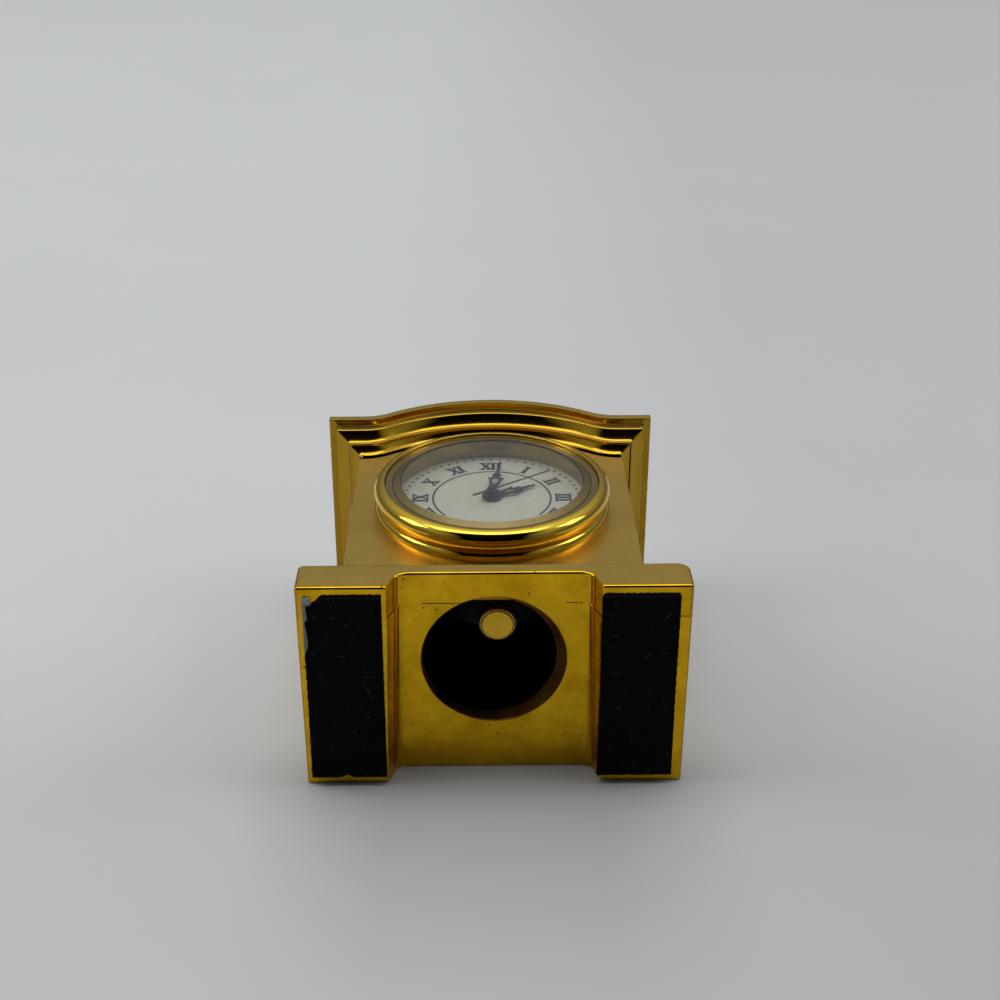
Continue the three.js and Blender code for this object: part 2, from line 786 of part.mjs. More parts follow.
function rotor() {
  const phase = meshPhase(stepTeeth, 0, rotorAngle, pinionTeeth);
  return join(
    rod(rotorPlace, arborRadius, pivotFront, pivotBack),
    rod(rotorPlace, magnetRadius, thirdLevel, secondsLevel + wheelThickness),
    wheel(
      rotorPlace, pinionTeeth, stepModule, phase,
      stepLevel - pinionOverlap, stepLevel + wheelThickness + pinionOverlap,
    ),
  );
}

function minuteWheel() {
  const phase = meshPhase(cannonTeeth, 0, minuteWheelAngle, minuteWheelTeeth);
  return cut(
    join(
      wheel(
        minuteWheelPlace, minuteWheelTeeth, cannonModule, phase,
        minuteLevel, minuteLevel + wheelThickness,
      ),
      wheel(minuteWheelPlace, minutePinionTeeth, hourModule, 0, hourLevel, minuteLevel),
    ),
    rod(
      minuteWheelPlace, arborRadius + runningGap,
      hourLevel - overrun, minuteLevel + wheelThickness + overrun,
    ),
  );
}

function hourWheel() {
  const phase = meshPhase(minutePinionTeeth, 0, minuteWheelAngle + 180, hourTeeth);
  return cut(
    join(
      wheel(centre, hourTeeth, hourModule, phase, hourLevel, hourLevel + wheelThickness),
      rod(centre, hourPipeRadius, hourHandY, hourLevel + wheelThickness / 2),
    ),
    rod(centre, hourPipeInner, hourHandY - overrun, hourLevel + wheelThickness + overrun),
  );
}

// A straight strip of soft iron between two places
function strip(from, to, width, nearY, farY) {
  const length = Math.hypot(to[0] - from[0], to[1] - from[1]);
  const turn = Math.atan2(to[1] - from[1], to[0] - from[0]);
  const box = new THREE.BoxGeometry(length + width, farY - nearY, width);
  box.rotateY(-turn);
  const middle = [(from[0] + to[0]) / 2, (from[1] + to[1]) / 2];
  return box.translate(middle[0], (nearY + farY) / 2, clockZ + middle[1]);
}

// Two legs from the coil's ends to the ring round the rotor
function stator() {
  const ringRadius = magnetRadius + magnetGap + statorRing;
  const left = [coilEnds[0] - coreTab / 2, coilHeight];
  const right = [coilEnds[1] + coreTab / 2, coilHeight];
  const knee = [right[0], coilHeight - coilRadius - coreWidth * kneeDropShare];
  const rim = [rotorPlace[0], rotorPlace[1] + ringRadius - coreWidth / 2];
  return cut(
    join(
      rod(rotorPlace, ringRadius, statorFront, statorBack),
      strip(left, rim, coreWidth, statorFront, statorBack),
      strip(rim, knee, coreWidth, statorFront, statorBack),
      strip(knee, right, coreWidth, statorFront, statorBack),
    ),
    rod(rotorPlace, magnetRadius + magnetGap, statorFront - overrun, statorBack + overrun),
  );
}

// The coil's iron core lies on the stator's legs
const coilCore = () => new THREE.BoxGeometry(coilLength + 2 * coreTab, coreThickness, coreWidth)
  .translate(coilShift, statorBack + coreThickness / 2, clockZ + coilHeight);

function coil() {
  const place = [coilShift, statorBack + coreThickness / 2, clockZ + coilHeight];
  const winding = new THREE.CylinderGeometry(coilRadius, coilRadius, coilLength, smallRoundSteps);
  winding.rotateZ(Math.PI / 2).translate(...place);
  const slot = new THREE.BoxGeometry(
    coilLength + overrun, coreThickness + 2 * runningGap, coreWidth + 2 * runningGap,
  );
  return cut(winding, slot.translate(...place));
}

// Button cell: a wide positive can and a smaller negative cap toward the seat
function battery() {
  const capRadius = batteryRadius - batteryStep;
  const profile = [
    [0, batteryFrontY], [capRadius, batteryFrontY], [capRadius, batteryFrontY + batteryStep],
    [batteryRadius, batteryFrontY + batteryStep], [batteryRadius, batteryBackY], [0, batteryBackY],
  ].map(([r, y]) => new THREE.Vector2(r, y));
  return new THREE.LatheGeometry(profile, smallRoundSteps * 2)
    .translate(batteryPlace[0], 0, clockZ + batteryPlace[1]);
}

const batterySeat = () => rod(
  batteryPlace, batteryRadius - batteryStep, plateBackY, batteryFrontY, smallRoundSteps * 2,
);

// The strap lies under the bridge on both sides of the opening over the cell
function batteryStrap() {
  const reach = batteryRadius + strapWidth;
  const along = batteryAngle + 90;
  const inset = polar(batteryPlace, strapWidth, batteryAngle + 180);
  return strip(
    polar(inset, reach - strapWidth / 2, along),
    polar(inset, reach - strapWidth / 2, along + 180),
    strapWidth, bridgeFrontY - strapThickness, bridgeFrontY,
  );
}

const circuitBoard = () => new THREE.BoxGeometry(boardWidth, boardThickness, boardHeight)
  .translate(boardShift, plateBackY + boardThickness / 2, clockZ - boardDrop);

const controlChip = () => new THREE.BoxGeometry(chipSize, chipThickness, chipSize)
  .translate(
    boardShift, boardBackY + chipThickness / 2, clockZ - boardDrop - (boardHeight - chipSize) / 2,
  );

function quartzCrystal() {
  const can = new THREE.CylinderGeometry(
    crystalRadius, crystalRadius, crystalLength, smallRoundSteps,
  );
  return can.rotateZ(Math.PI / 2).translate(
    boardShift, boardBackY + crystalRadius, clockZ - boardDrop + boardHeight / 2 - crystalRadius,
  );
}

// Slot for the stem, cut up through the can and the ring inside it
function stemBore() {
  const bottomZ = clockZ - canRadius - overrun;
  return turnedUpright([
    [0, bottomZ], [stemRadius + stemGap, bottomZ],
    [stemRadius + stemGap, stemTopZ], [0, stemTopZ],
  ]);
}

function settingStem() {
  return turnedUpright([
    [0, crownTopZ], [stemRadius, crownTopZ], [stemRadius, grooveZ - grooveWidth / 2],
    [grooveRadius, grooveZ - grooveWidth / 2], [grooveRadius, grooveZ + grooveWidth / 2],
    [stemRadius, grooveZ + grooveWidth / 2], [stemRadius, stemTopZ], [0, stemTopZ],
  ]);
}

// Knurled knob: a toothed rim with a plain round face toward the hand
function crown() {
  const rim = new THREE.Shape();
  for (let i = 0; i < 2 * crownTeeth; i += 1) {
    const turn = Math.PI * i / crownTeeth;
    const radius = i % 2 === 0 ? crownRadius : crownRadius - crownToothDepth;
    const point = [radius * Math.cos(turn), radius * Math.sin(turn)];
    if (i === 0) rim.moveTo(...point);
    else rim.lineTo(...point);
  }
  rim.closePath();
  const faceStep = (crownRadius - crownFaceRadius) / 2;
  const neckZ = crownTopZ - crownNeckHeight;
  const grip = alongZ(rim, crownFaceZ + faceStep, neckZ).translate(stemShift, stemY, 0);
  const face = turnedUpright([
    [0, crownFaceZ], [crownFaceRadius, crownFaceZ],
    [crownFaceRadius, crownFaceZ + 2 * faceStep], [0, crownFaceZ + 2 * faceStep],
  ]);
  const neck = turnedUpright([
    [0, neckZ - faceStep], [crownNeckRadius, neckZ - faceStep],
    [crownNeckRadius, crownTopZ], [0, crownTopZ],
  ]);
  return join(grip, face, neck);
}

// Short tube that guides the stem where it leaves the can
function stemTube() {
  const inner = stemRadius + stemGap / 2;
  const outer = inner + stemTubeWall;
  const canBottomZ = clockZ - Math.sqrt(canRadius ** 2 - (outer + stemGap) ** 2);
  return turnedUpright(ringProfile(
    inner, outer, clockZ - canRadius - stemTubeLength, canBottomZ - stemGap / 2,
  ));
}

// Fork in the groove of the stem: it follows the stem in and out but doesn't turn
function settingLever() {
  const outline = rectangle(leverWidth, leverDepth, stemShift, stemY);
  const thickness = grooveWidth - 2 * stemGap;
  const mouth = new THREE.BoxGeometry(2 * (grooveRadius + runningGap), leverDepth, thickness + overrun);
  mouth.translate(stemShift, stemY - leverDepth / 2, grooveZ);
  const round = new THREE.CylinderGeometry(
    grooveRadius + runningGap, grooveRadius + runningGap, thickness + overrun, smallRoundSteps,
  ).rotateX(Math.PI / 2).translate(stemShift, stemY, grooveZ);
  return cut(alongZ(outline, grooveZ - thickness / 2, grooveZ + thickness / 2), mouth, round);
}

// Pierced hand that points up: a slim stem, a pierced heart with two barbs, and a long tip
function piercedHand(length) {
  const heartZ = length * heartShare;
  const heartWidth = length * heartWidthShare;
  const barbZ = heartZ + heartWidth * barbRiseShare;
  const tipZ = barbZ + heartWidth * tipRootShare;
  const half = handStemWidth / 2;
  const shape = new THREE.Shape();
  shape.moveTo(-half, 0);
  shape.lineTo(half, 0);
  shape.lineTo(half, heartZ - heartWidth);
  shape.quadraticCurveTo(heartWidth, heartZ - heartWidth / 2, heartWidth, heartZ);
  shape.quadraticCurveTo(heartWidth / 2, barbZ, half, barbZ);
  shape.lineTo(heartWidth * barbReachShare, barbZ + half);
  shape.quadraticCurveTo(half * 2, tipZ, half, tipZ + half);
  shape.lineTo(0, length);
  shape.lineTo(-half, tipZ + half);
  shape.quadraticCurveTo(-half * 2, tipZ, -heartWidth * barbReachShare, barbZ + half);
  shape.lineTo(-half, barbZ);
  shape.quadraticCurveTo(-heartWidth / 2, barbZ, -heartWidth, heartZ);
  shape.quadraticCurveTo(-heartWidth, heartZ - heartWidth / 2, -half, heartZ - heartWidth);
  shape.closePath();
  const hole = new THREE.Path();
  const holeZ = heartZ - heartWidth * pierceDropShare;
  hole.absarc(0, holeZ, heartWidth * pierceShare, 0, 2 * Math.PI, true);
  shape.holes.push(hole);
  return shape;
}

// A hand turned to its place in front of the dial, with a hub pierced for its arbor
function placeHand(shape, y, degrees, hubRadius, holeRadius) {
  const hubBackY = y + handThickness * hubDepthShare;
  const blade = alongY(shape, y, y + handThickness);
  blade.rotateY(radians(degrees)).translate(0, 0, clockZ);
  return cut(
    join(blade, rod(centre, hubRadius, y, hubBackY)),
    rod(centre, holeRadius, y - overrun, hubBackY + overrun),
  );
}

const hourHand = () => placeHand(
  piercedHand(hourHandLength), hourHandY, hourHandAngle, handHubRadius, hourPipeRadius + fitGap / 2,
);

const minuteHand = () => placeHand(
  piercedHand(minuteHandLength), minuteHandY, minuteHandAngle, minuteHubRadius,
  minuteTubeRadius + fitGap / 2,
);

function secondHand() {
  const half = secondHandWidth / 2;
  const shape = new THREE.Shape();
  shape.moveTo(-half, -secondTailLength);
  shape.lineTo(half, -secondTailLength);
  shape.lineTo(half / 2, secondHandLength);
  shape.lineTo(-half / 2, secondHandLength);
  shape.closePath();
  return placeHand(
    shape, secondHandY, secondHandAngle, secondHubRadius, secondsArborRadius + fitGap / 2,
  );
}

const gold = { color: 0xc9a24b, roughness: 0.25, metalness: 1 };
const satinGold = { color: 0xb79a55, roughness: 0.45, metalness: 1 };
const brass = { color: 0xb8963e, roughness: 0.35, metalness: 1 };
const steel = { color: 0x9a9ca0, roughness: 0.3, metalness: 1 };
const nickel = { color: 0xc4c6c8, roughness: 0.3, metalness: 1 };
const copper = { color: 0xa85f32, roughness: 0.4, metalness: 1 };
const blackPlastic = { color: 0x1a1a1a, roughness: 0.6, metalness: 0 };
const whitePlastic = { color: 0xe4e2da, roughness: 0.5, metalness: 0 };
const felt = { color: 0x090909, roughness: 1, metalness: 0 };
const dialWhite = { color: 0xf2f0e6, roughness: 0.35, metalness: 0 };
const clearGlass = { color: 0xf4f8f8, roughness: 0.02, metalness: 0 };
const greenBoard = { color: 0x2f6b3c, roughness: 0.5, metalness: 0 };
const blackLacquer = { color: 0x101010, roughness: 0.3, metalness: 0 };

const clock = new THREE.Group();
clock.name = 'miniature_clock';

function addPart(name, geometry, look, extra = {}) {
  const mesh = new THREE.Mesh(weld(geometry), new THREE.MeshStandardMaterial({ ...look, ...extra }));
  mesh.name = name;
  clock.add(mesh);
}

addPart('case_casting', caseCasting(), satinGold);
addPart('back_plate', backPlate(), satinGold);
addPart('felt_pad_left', feltPad(-1), felt);
addPart('felt_pad_right', feltPad(1), felt);
addPart('bezel_ring', bezel(), gold);
addPart('glass', glass(), clearGlass, { transparent: true, opacity: 0.25 });
addPart('rehaut_ring', rehaut(), satinGold);
addPart('dial', dial(), dialWhite);
addPart('clock_can', clockCan(), blackPlastic);
addPart('can_lid', canLid(), nickel);
addPart('retaining_ring', retainingRing(), blackPlastic);
addPart('movement_ring', movementRing(), whitePlastic);
addPart('main_plate', mainPlate(), brass);
addPart('bridge', bridge(), nickel);
pillarPlaces.forEach((place, i) => addPart(`bridge_screw_${i + 1}`, bridgeScrew(place), steel));
addPart('centre_wheel', centreWheel(), brass);
addPart('third_wheel', thirdWheel(), brass);
addPart('seconds_wheel', secondsWheel(), brass);
addPart('step_wheel', stepWheel(), whitePlastic);
addPart('rotor', rotor(), steel);
addPart('minute_wheel', minuteWheel(), brass);
addPart('hour_wheel', hourWheel(), brass);
addPart('stator', stator(), steel);
addPart('coil_core', coilCore(), steel);
addPart('coil_winding', coil(), copper);
addPart('battery_cell', battery(), nickel);
addPart('battery_seat', batterySeat(), blackPlastic);
addPart('battery_strap', batteryStrap(), nickel);
addPart('circuit_board', circuitBoard(), greenBoard);
addPart('control_chip', controlChip(), blackPlastic);
addPart('quartz_crystal', quartzCrystal(), nickel);
addPart('stem_tube', stemTube(), brass);
addPart('setting_lever', settingLever(), steel);
addPart('setting_stem', settingStem(), steel);
addPart('crown', crown(), gold);
addPart('hour_hand', hourHand(), blackLacquer);
addPart('minute_hand', minuteHand(), blackLacquer);
addPart('second_hand', secondHand(), blackLacquer);

export default clock;
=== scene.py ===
# %% [markdown]
# # A miniature clock with a cast, gold-plated case
#
# The real object is a hollow metal casting in the shape of an arched mantel clock. A small round
# clock insert is pressed into its front wall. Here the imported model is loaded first, because every
# piece below is made at the place where the model already has it, in metres.

# %% Load the frame
import json
import math
import random

import bpy
from mathutils import Matrix, Vector


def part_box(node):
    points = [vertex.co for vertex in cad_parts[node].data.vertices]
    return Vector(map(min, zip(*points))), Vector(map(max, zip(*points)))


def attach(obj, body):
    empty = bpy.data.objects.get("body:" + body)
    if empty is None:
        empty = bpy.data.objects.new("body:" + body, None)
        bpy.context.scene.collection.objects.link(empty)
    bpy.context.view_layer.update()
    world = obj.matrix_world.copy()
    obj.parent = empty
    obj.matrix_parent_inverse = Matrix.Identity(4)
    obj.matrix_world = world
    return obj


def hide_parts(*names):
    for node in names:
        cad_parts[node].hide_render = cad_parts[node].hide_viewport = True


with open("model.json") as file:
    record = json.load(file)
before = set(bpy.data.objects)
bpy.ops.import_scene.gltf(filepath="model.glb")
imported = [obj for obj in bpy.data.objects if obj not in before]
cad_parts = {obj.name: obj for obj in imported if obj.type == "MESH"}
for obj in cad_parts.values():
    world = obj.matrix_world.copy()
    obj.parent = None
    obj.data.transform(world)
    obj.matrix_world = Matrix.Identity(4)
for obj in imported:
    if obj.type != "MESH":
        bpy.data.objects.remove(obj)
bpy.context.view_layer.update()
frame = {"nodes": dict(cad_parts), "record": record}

mm = 0.001

# %% [markdown]
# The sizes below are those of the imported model. A few are read from its nodes, so that the pieces
# made here keep to them.

# %% Sizes of the case
front_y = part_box("case_casting")[0][1]
back_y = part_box("case_casting")[1][1]
mid_y = (front_y + back_y) / 2
plinth_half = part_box("case_casting")[1][0]
foot_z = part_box("case_casting")[0][2]
plinth_top_z = foot_z + 4.9 * mm
ceiling_z = foot_z + 2.95 * mm
face_y = front_y + 3.2 * mm
body_half = plinth_half - 4.35 * mm
body_top_z = plinth_top_z + 33.5 * mm
shoulder_z = body_top_z + 5.05 * mm
clock_z = (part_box("bezel_ring")[0][2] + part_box("bezel_ring")[1][2]) / 2
can_radius = 12.6 * mm
arch_half_span = body_half - 0.45 * mm
arch_rise = 5.1 * mm
arch_share = 0.8
print("face at y", round(face_y / mm, 2), "clock centre at z", round(clock_z / mm, 2))

# %% [markdown]
# ## Camera
#
# In the photograph the clock lies on its back, and the camera looks down at it from about 27
# degrees above the table. In the model the clock stands upright, so the same view is taken from
# below and in front of it, and the table becomes a plane that touches the clock's back.

# %% Place the camera
camera_place = Vector((-1.8455, -97.284, -143.762)) * mm
camera_yaw = math.radians(0.9512)
camera_pitch = math.radians(27.3347)
camera_roll = math.radians(0.0772)
view_direction = Vector((
    math.sin(camera_yaw) * math.cos(camera_pitch),
    math.sin(camera_pitch),
    math.cos(camera_yaw) * math.cos(camera_pitch),
))
off_table = Vector((0, -1, 0))
level_right = view_direction.cross(off_table).normalized()
level_up = level_right.cross(view_direction)
right = level_right * math.cos(camera_roll) + level_up * math.sin(camera_roll)
up = level_up * math.cos(camera_roll) - level_right * math.sin(camera_roll)
turn = Matrix((right, up, -view_direction)).transposed()
camera_data = bpy.data.cameras.new("camera")
camera_data.sensor_width = 36
camera_data.lens = 57.586
camera_data.clip_start = 0.005
camera_data.clip_end = 20
camera = bpy.data.objects.new("camera", camera_data)
bpy.context.scene.collection.objects.link(camera)
camera.matrix_world = Matrix.Translation(camera_place) @ turn.to_4x4()
bpy.context.scene.camera = camera
bpy.context.scene.view_settings.view_transform = "Standard"
print("camera looks along", [round(v, 4) for v in view_direction])

# %% [markdown]
# ## Tools of the trade
#
# Most pieces here are either turned about an axis, like the bezel, or cut from an outline, like the
# plinth. Both start from a circle primitive whose corners are set on the outline, and go on in edit
# mode with spin or extrude.

# %% Select and finish pieces
def deselect_all():
    if bpy.context.object and bpy.context.object.mode != "OBJECT":
        bpy.ops.object.mode_set(mode="OBJECT")
    bpy.ops.object.select_all(action="DESELECT")


def pick(piece):
    deselect_all()
    piece.select_set(True)
    bpy.context.view_layer.objects.active = piece


def edit(piece):
    pick(piece)
    bpy.ops.object.mode_set(mode="EDIT")
    bpy.ops.mesh.select_all(action="SELECT")


def close_up(piece):
    """Merge the doubles, turn all faces out and leave edit mode."""
    edit(piece)
    bpy.ops.mesh.remove_doubles(threshold=0.0005 * mm)
    bpy.ops.mesh.dissolve_degenerate(threshold=0.0005 * mm)
    bpy.ops.mesh.select_all(action="SELECT")
    bpy.ops.mesh.normals_make_consistent(inside=False)
    bpy.ops.object.mode_set(mode="OBJECT")
    return piece


def settle(piece):
    """Put the piece's object at the origin, with its place in its mesh."""
    pick(piece)
    bpy.ops.object.transform_apply(location=True, rotation=True, scale=True)
    return piece


def use(piece, kind, **settings):
    """Add a modifier and apply it."""
    pick(piece)
    modifier = piece.modifiers.new(kind.lower(), kind)
    for name, value in settings.items():
        setattr(modifier, name, value)
    bpy.ops.object.modifier_apply(modifier=modifier.name)
    return piece


def join_all(pieces, name):
    """Join pieces into the first of them."""
    pick(pieces[0])
    for piece in pieces:
        piece.select_set(True)
    bpy.ops.object.join()
    pieces[0].name = name
    return pieces[0]


def soften(piece, width, segments=2, angle=32):
    """Round the arrises of a piece, as polishing does."""
    return use(piece, "BEVEL", width=width, segments=segments, limit_method="ANGLE",
               angle_limit=math.radians(angle), use_clamp_overlap=True, miter_outer="MITER_ARC")


def shade(piece, angle=30):
    pick(piece)
    bpy.ops.object.shade_smooth_by_angle(angle=math.radians(angle))
    return piece


def flatten(piece, angle=30):
    """Shade smooth, and let large flat faces keep their own normal up to the rounded arrises."""
    return use(shade(piece, angle), "WEIGHTED_NORMAL", keep_sharp=True, weight=90)


# %% Shape pieces from an outline
def outline(name, points, filled=True):
    """A closed outline: a circle primitive with one corner for each point."""
    deselect_all()
    bpy.ops.mesh.primitive_circle_add(
        vertices=len(points), radius=mm, fill_type="NGON" if filled else "NOTHING")
    piece = bpy.context.object
    piece.name = name
    settle(piece)
    for vertex, point in zip(piece.data.vertices, points):
        vertex.co = point
    return piece


def prism(name, points, reach):
    """A filled outline, extruded backward by a length, or along a vector."""
    piece = outline(name, points)
    edit(piece)
    way = reach if isinstance(reach, tuple) else (0, reach, 0)
    bpy.ops.mesh.extrude_region_move(TRANSFORM_OT_translate={"value": way})
    return close_up(piece)


def cut_at(piece, place, normal):
    """Cut new edges into a piece where a plane crosses it."""
    edit(piece)
    bpy.ops.mesh.bisect(plane_co=place, plane_no=normal)
    bpy.ops.object.mode_set(mode="OBJECT")


def select_edges(piece, wanted):
    """Select the edges whose two ends both pass a test."""
    edit(piece)
    bpy.ops.mesh.select_mode(type="EDGE")
    bpy.ops.mesh.select_all(action="DESELECT")
    bpy.ops.object.mode_set(mode="OBJECT")
    for edge in piece.data.edges:
        ends = [piece.data.vertices[i].co for i in edge.vertices]
        edge.select = all(wanted(end) for end in ends)
    bpy.ops.object.mode_set(mode="EDIT")


def round_edges(piece, wanted, radius, segments=4):
    """Round the edges whose two ends both pass a test."""
    select_edges(piece, wanted)
    bpy.ops.mesh.bevel(offset=radius, segments=segments, clamp_overlap=False)
    return close_up(piece)


def spun(name, points, centre, axis, segments):
    """A closed outline, spun once round an axis."""
    piece = outline(name, points, filled=False)
    edit(piece)
    bpy.ops.mesh.spin(steps=segments, angle=2 * math.pi, center=centre, axis=axis)
    return close_up(piece)


def turned(name, profile, centre=(0, 0), segments=128):
    """A profile of radius and y, spun about an axis along y."""
    x, z = centre
    return spun(name, [(x + r, y, z) for r, y in profile], (x, 0, z), (0, 1, 0), segments)


def turned_upright(name, profile, centre, segments=96):
    """A profile of radius and z, spun about an upright axis."""
    x, y = centre
    return spun(name, [(x + r, y, z) for r, z in profile], (x, y, 0), (0, 0, 1), segments)


def arc(centre, radius, start, end, steps):
    """Points on part of a circle, or of an ellipse where radius is a pair; angles in degrees."""
    reach = radius if isinstance(radius, tuple) else (radius, radius)
    return [
        (centre[0] + reach[0] * math.cos(math.radians(start + (end - start) * i / steps)),
         centre[1] + reach[1] * math.sin(math.radians(start + (end - start) * i / steps)))
        for i in range(steps + 1)
    ]


def arch_height(x):
    """Height of the arched roof above its shoulders: a main arc that swings into a hollow one."""
    turn_angle = 2 * math.atan(arch_rise / arch_half_span)
    both = arch_half_span / math.sin(turn_angle)
    main = both * arch_share
    end = both - main
    across = abs(x)
    if across >= arch_half_span:
        return 0.0
    if across <= main * math.sin(turn_angle):
        return arch_rise - main + math.sqrt(main ** 2 - across ** 2)
    return end - math.sqrt(end ** 2 - (arch_half_span - across) ** 2)


print("arch height at 0, 8 and 16 mm:", [round(arch_height(x * mm) / mm, 2) for x in (0, 8, 16)])

# %% [markdown]
# ## Finishes
#
# Plating shows its surface in the light it reflects. The metals share one node group, which gives
# out masks only: clouds and stains for the tone, speckle for the gloss and the fine grain, pits,
# and a long wave that bends the reflections. Each material sets its own shader with them.
#
# The base colours are tuned to the light of this scene, and are darker than bare gold.

# %% Node helpers
def new_material(name):
    made = bpy.data.materials.new(name)
    made.use_nodes = True
    tree = made.node_tree
    tree.nodes.clear()
    out = tree.nodes.new("ShaderNodeOutputMaterial")
    shader = tree.nodes.new("ShaderNodeBsdfPrincipled")
    tree.links.new(shader.outputs[0], out.inputs["Surface"])
    return made, tree, shader


def node(tree, kind, **values):
    made = tree.nodes.new(kind)
    for key, value in values.items():
        if key in made.inputs:
            made.inputs[key].default_value = value
        else:
            setattr(made, key, value)
    return made


def place_on_object(tree, scale=(1, 1, 1)):
    """Object coordinates, stretched along the axes."""
    spot = tree.nodes.new("ShaderNodeTexCoord")
    mapping = tree.nodes.new("ShaderNodeMapping")
    mapping.inputs["Scale"].default_value = scale
    tree.links.new(spot.outputs["Object"], mapping.inputs["Vector"])
    return mapping.outputs["Vector"]


def object_xyz(tree):
    """The three object coordinates, each as a value of its own."""
    split_place = tree.nodes.new("ShaderNodeSeparateXYZ")
    spot = tree.nodes.new("ShaderNodeTexCoord")
    tree.links.new(spot.outputs["Object"], split_place.inputs[0])
    return split_place.outputs


def feed(tree, target, sources):
    """Lead each source to the input that it is named for."""
    for title, source in sources.items():
        tree.links.new(source, target.inputs[title])


def remap(tree, source, low, high, from_low=0.3, from_high=0.7):
    spread = tree.nodes.new("ShaderNodeMapRange")
    for key, value in zip(("From Min", "From Max", "To Min", "To Max"),
                          (from_low, from_high, low, high)):
        spread.inputs[key].default_value = value
    tree.links.new(source, spread.inputs["Value"])
    return spread.outputs["Result"]


def blend_colours(tree, factor, first, second):
    mix = tree.nodes.new("ShaderNodeMix")
    mix.data_type = "RGBA"
    for socket, value in ((mix.inputs[6], first), (mix.inputs[7], second)):
        if isinstance(value, tuple):
            socket.default_value = (*value, 1)
        else:
            tree.links.new(value, socket)
    tree.links.new(factor, mix.inputs[0])
    return mix.outputs[2]


def math_step(tree, operation, first, second=0.0):
    """One calculation; each value is a number or the output of a node."""
    step = tree.nodes.new("ShaderNodeMath")
    step.operation = operation
    for socket, value in zip(step.inputs, (first, second)):
        if isinstance(value, (int, float)):
            socket.default_value = value
        else:
            tree.links.new(value, socket)
    return step.outputs[0]


def noise(tree, place, scale, detail, roughness=0.5, distortion=0.0):
    """A noise that is read at a place, as a value round a half."""
    made = node(tree, "ShaderNodeTexNoise", Scale=scale, Detail=detail, Roughness=roughness,
                Distortion=distortion)
    tree.links.new(place, made.inputs["Vector"])
    return made.outputs["Fac"]


def raised(tree, height, distance, under=None, invert=False):
    """A normal bent by a height map, on top of an earlier one if there is one."""
    bump = node(tree, "ShaderNodeBump", Strength=1.0, Distance=distance, invert=invert)
    tree.links.new(height, bump.inputs["Height"])
    if under is not None:
        tree.links.new(under, bump.inputs["Normal"])
    return bump.outputs["Normal"]


def mixed(tree, factor, first, second, kind="OUTPUT_MATERIAL"):
    """Mix two shaders by a factor, and lead the result to the output of the tree."""
    mix = tree.nodes.new("ShaderNodeMixShader")
    for socket, source in zip(mix.inputs, (factor, first.outputs[0], second.outputs[0])):
        tree.links.new(source, socket)
    out = [found for found in tree.nodes if found.type == kind][0]
    tree.links.new(mix.outputs[0], out.inputs["Surface"])


# %% Group: cloudy tone and pits
def make_group(name, inputs, outputs):
    group = bpy.data.node_groups.new(name, "ShaderNodeTree")
    for title, kind, value in inputs:
        socket = group.interface.new_socket(title, in_out="INPUT", socket_type=kind)
        if value is not None:
            socket.default_value = value
    for title, kind in outputs:
        group.interface.new_socket(title, in_out="OUTPUT", socket_type=kind)
    return group, group.nodes.new("NodeGroupInput"), group.nodes.new("NodeGroupOutput")


cast_skin, skin_in, skin_out = make_group(
    "cast_skin",
    [("Vector", "NodeSocketVector", None), ("Pit Spacing", "NodeSocketFloat", 900.0),
     ("Pit Size", "NodeSocketFloat", 0.12)],
    [("Cloud", "NodeSocketFloat"), ("Speckle", "NodeSocketFloat"), ("Pits", "NodeSocketFloat"),
     ("Wave", "NodeSocketFloat"), ("Stain", "NodeSocketFloat")],
)
skin_place = skin_in.outputs["Vector"]
link = cast_skin.links.new
for title, scale, detail, roughness in (
        ("Cloud", 260.0, 5.0, 0.62), ("Speckle", 5200.0, 4.0, 0.6), ("Wave", 190.0, 2.0, 0.45)):
    link(noise(cast_skin, skin_place, scale, detail, roughness), skin_out.inputs[title])
blotch = noise(cast_skin, skin_place, 1500.0, 6.0, 0.7)
link(remap(cast_skin, blotch, 0.0, 1.0, 0.58, 0.74), skin_out.inputs["Stain"])
cells = node(cast_skin, "ShaderNodeTexVoronoi")
link(skin_place, cells.inputs["Vector"])
chance = noise(cast_skin, skin_place, 420.0, 2.0)
link(skin_in.outputs["Pit Spacing"], cells.inputs["Scale"])
near = math_step(cast_skin, "LESS_THAN", cells.outputs["Distance"], skin_in.outputs["Pit Size"])
rare = math_step(cast_skin, "GREATER_THAN", chance, 0.56)
link(math_step(cast_skin, "MULTIPLY", near, rare), skin_out.inputs["Pits"])
print("group made:", cast_skin.name)


# %% Mask of the dotted parting line
line_y = front_y + 3.75 * mm
line_half = 0.075 * mm
line_waver = 0.15 * mm


def seam_mask(tree):
    """White on a thin broken line across the channel, where the two halves of the die met."""
    def step(operation, first, second):
        return math_step(tree, operation, first, second)

    x, y, z = object_xyz(tree)
    dots = noise(tree, place_on_object(tree), 1500.0, 2.0)
    waver = step("MULTIPLY", step("SUBTRACT", dots, 0.5), line_waver)
    off_line = step("ABSOLUTE", step("SUBTRACT", step("ADD", y, waver), line_y), 0)
    on_line = step("LESS_THAN", off_line, line_half)
    left_run = step("LESS_THAN", step("ABSOLUTE", step("ADD", x, 5.1 * mm), 0), 2.6 * mm)
    right_run = step("LESS_THAN", step("ABSOLUTE", step("SUBTRACT", x, 8.6 * mm), 0), 0.9 * mm)
    outer_run = step("GREATER_THAN", x, plinth_half - 1.3 * mm)
    run = step("MAXIMUM", step("MAXIMUM", left_run, right_run), outer_run)
    broken = step("GREATER_THAN", dots, 0.44)
    return step("MULTIPLY", step("MULTIPLY", on_line, run), broken)


# %% Plated metals
pit_colour = (0.10, 0.05, 0.015)
stain_colour = (0.30, 0.17, 0.05)
line_colour = (0.12, 0.06, 0.02)


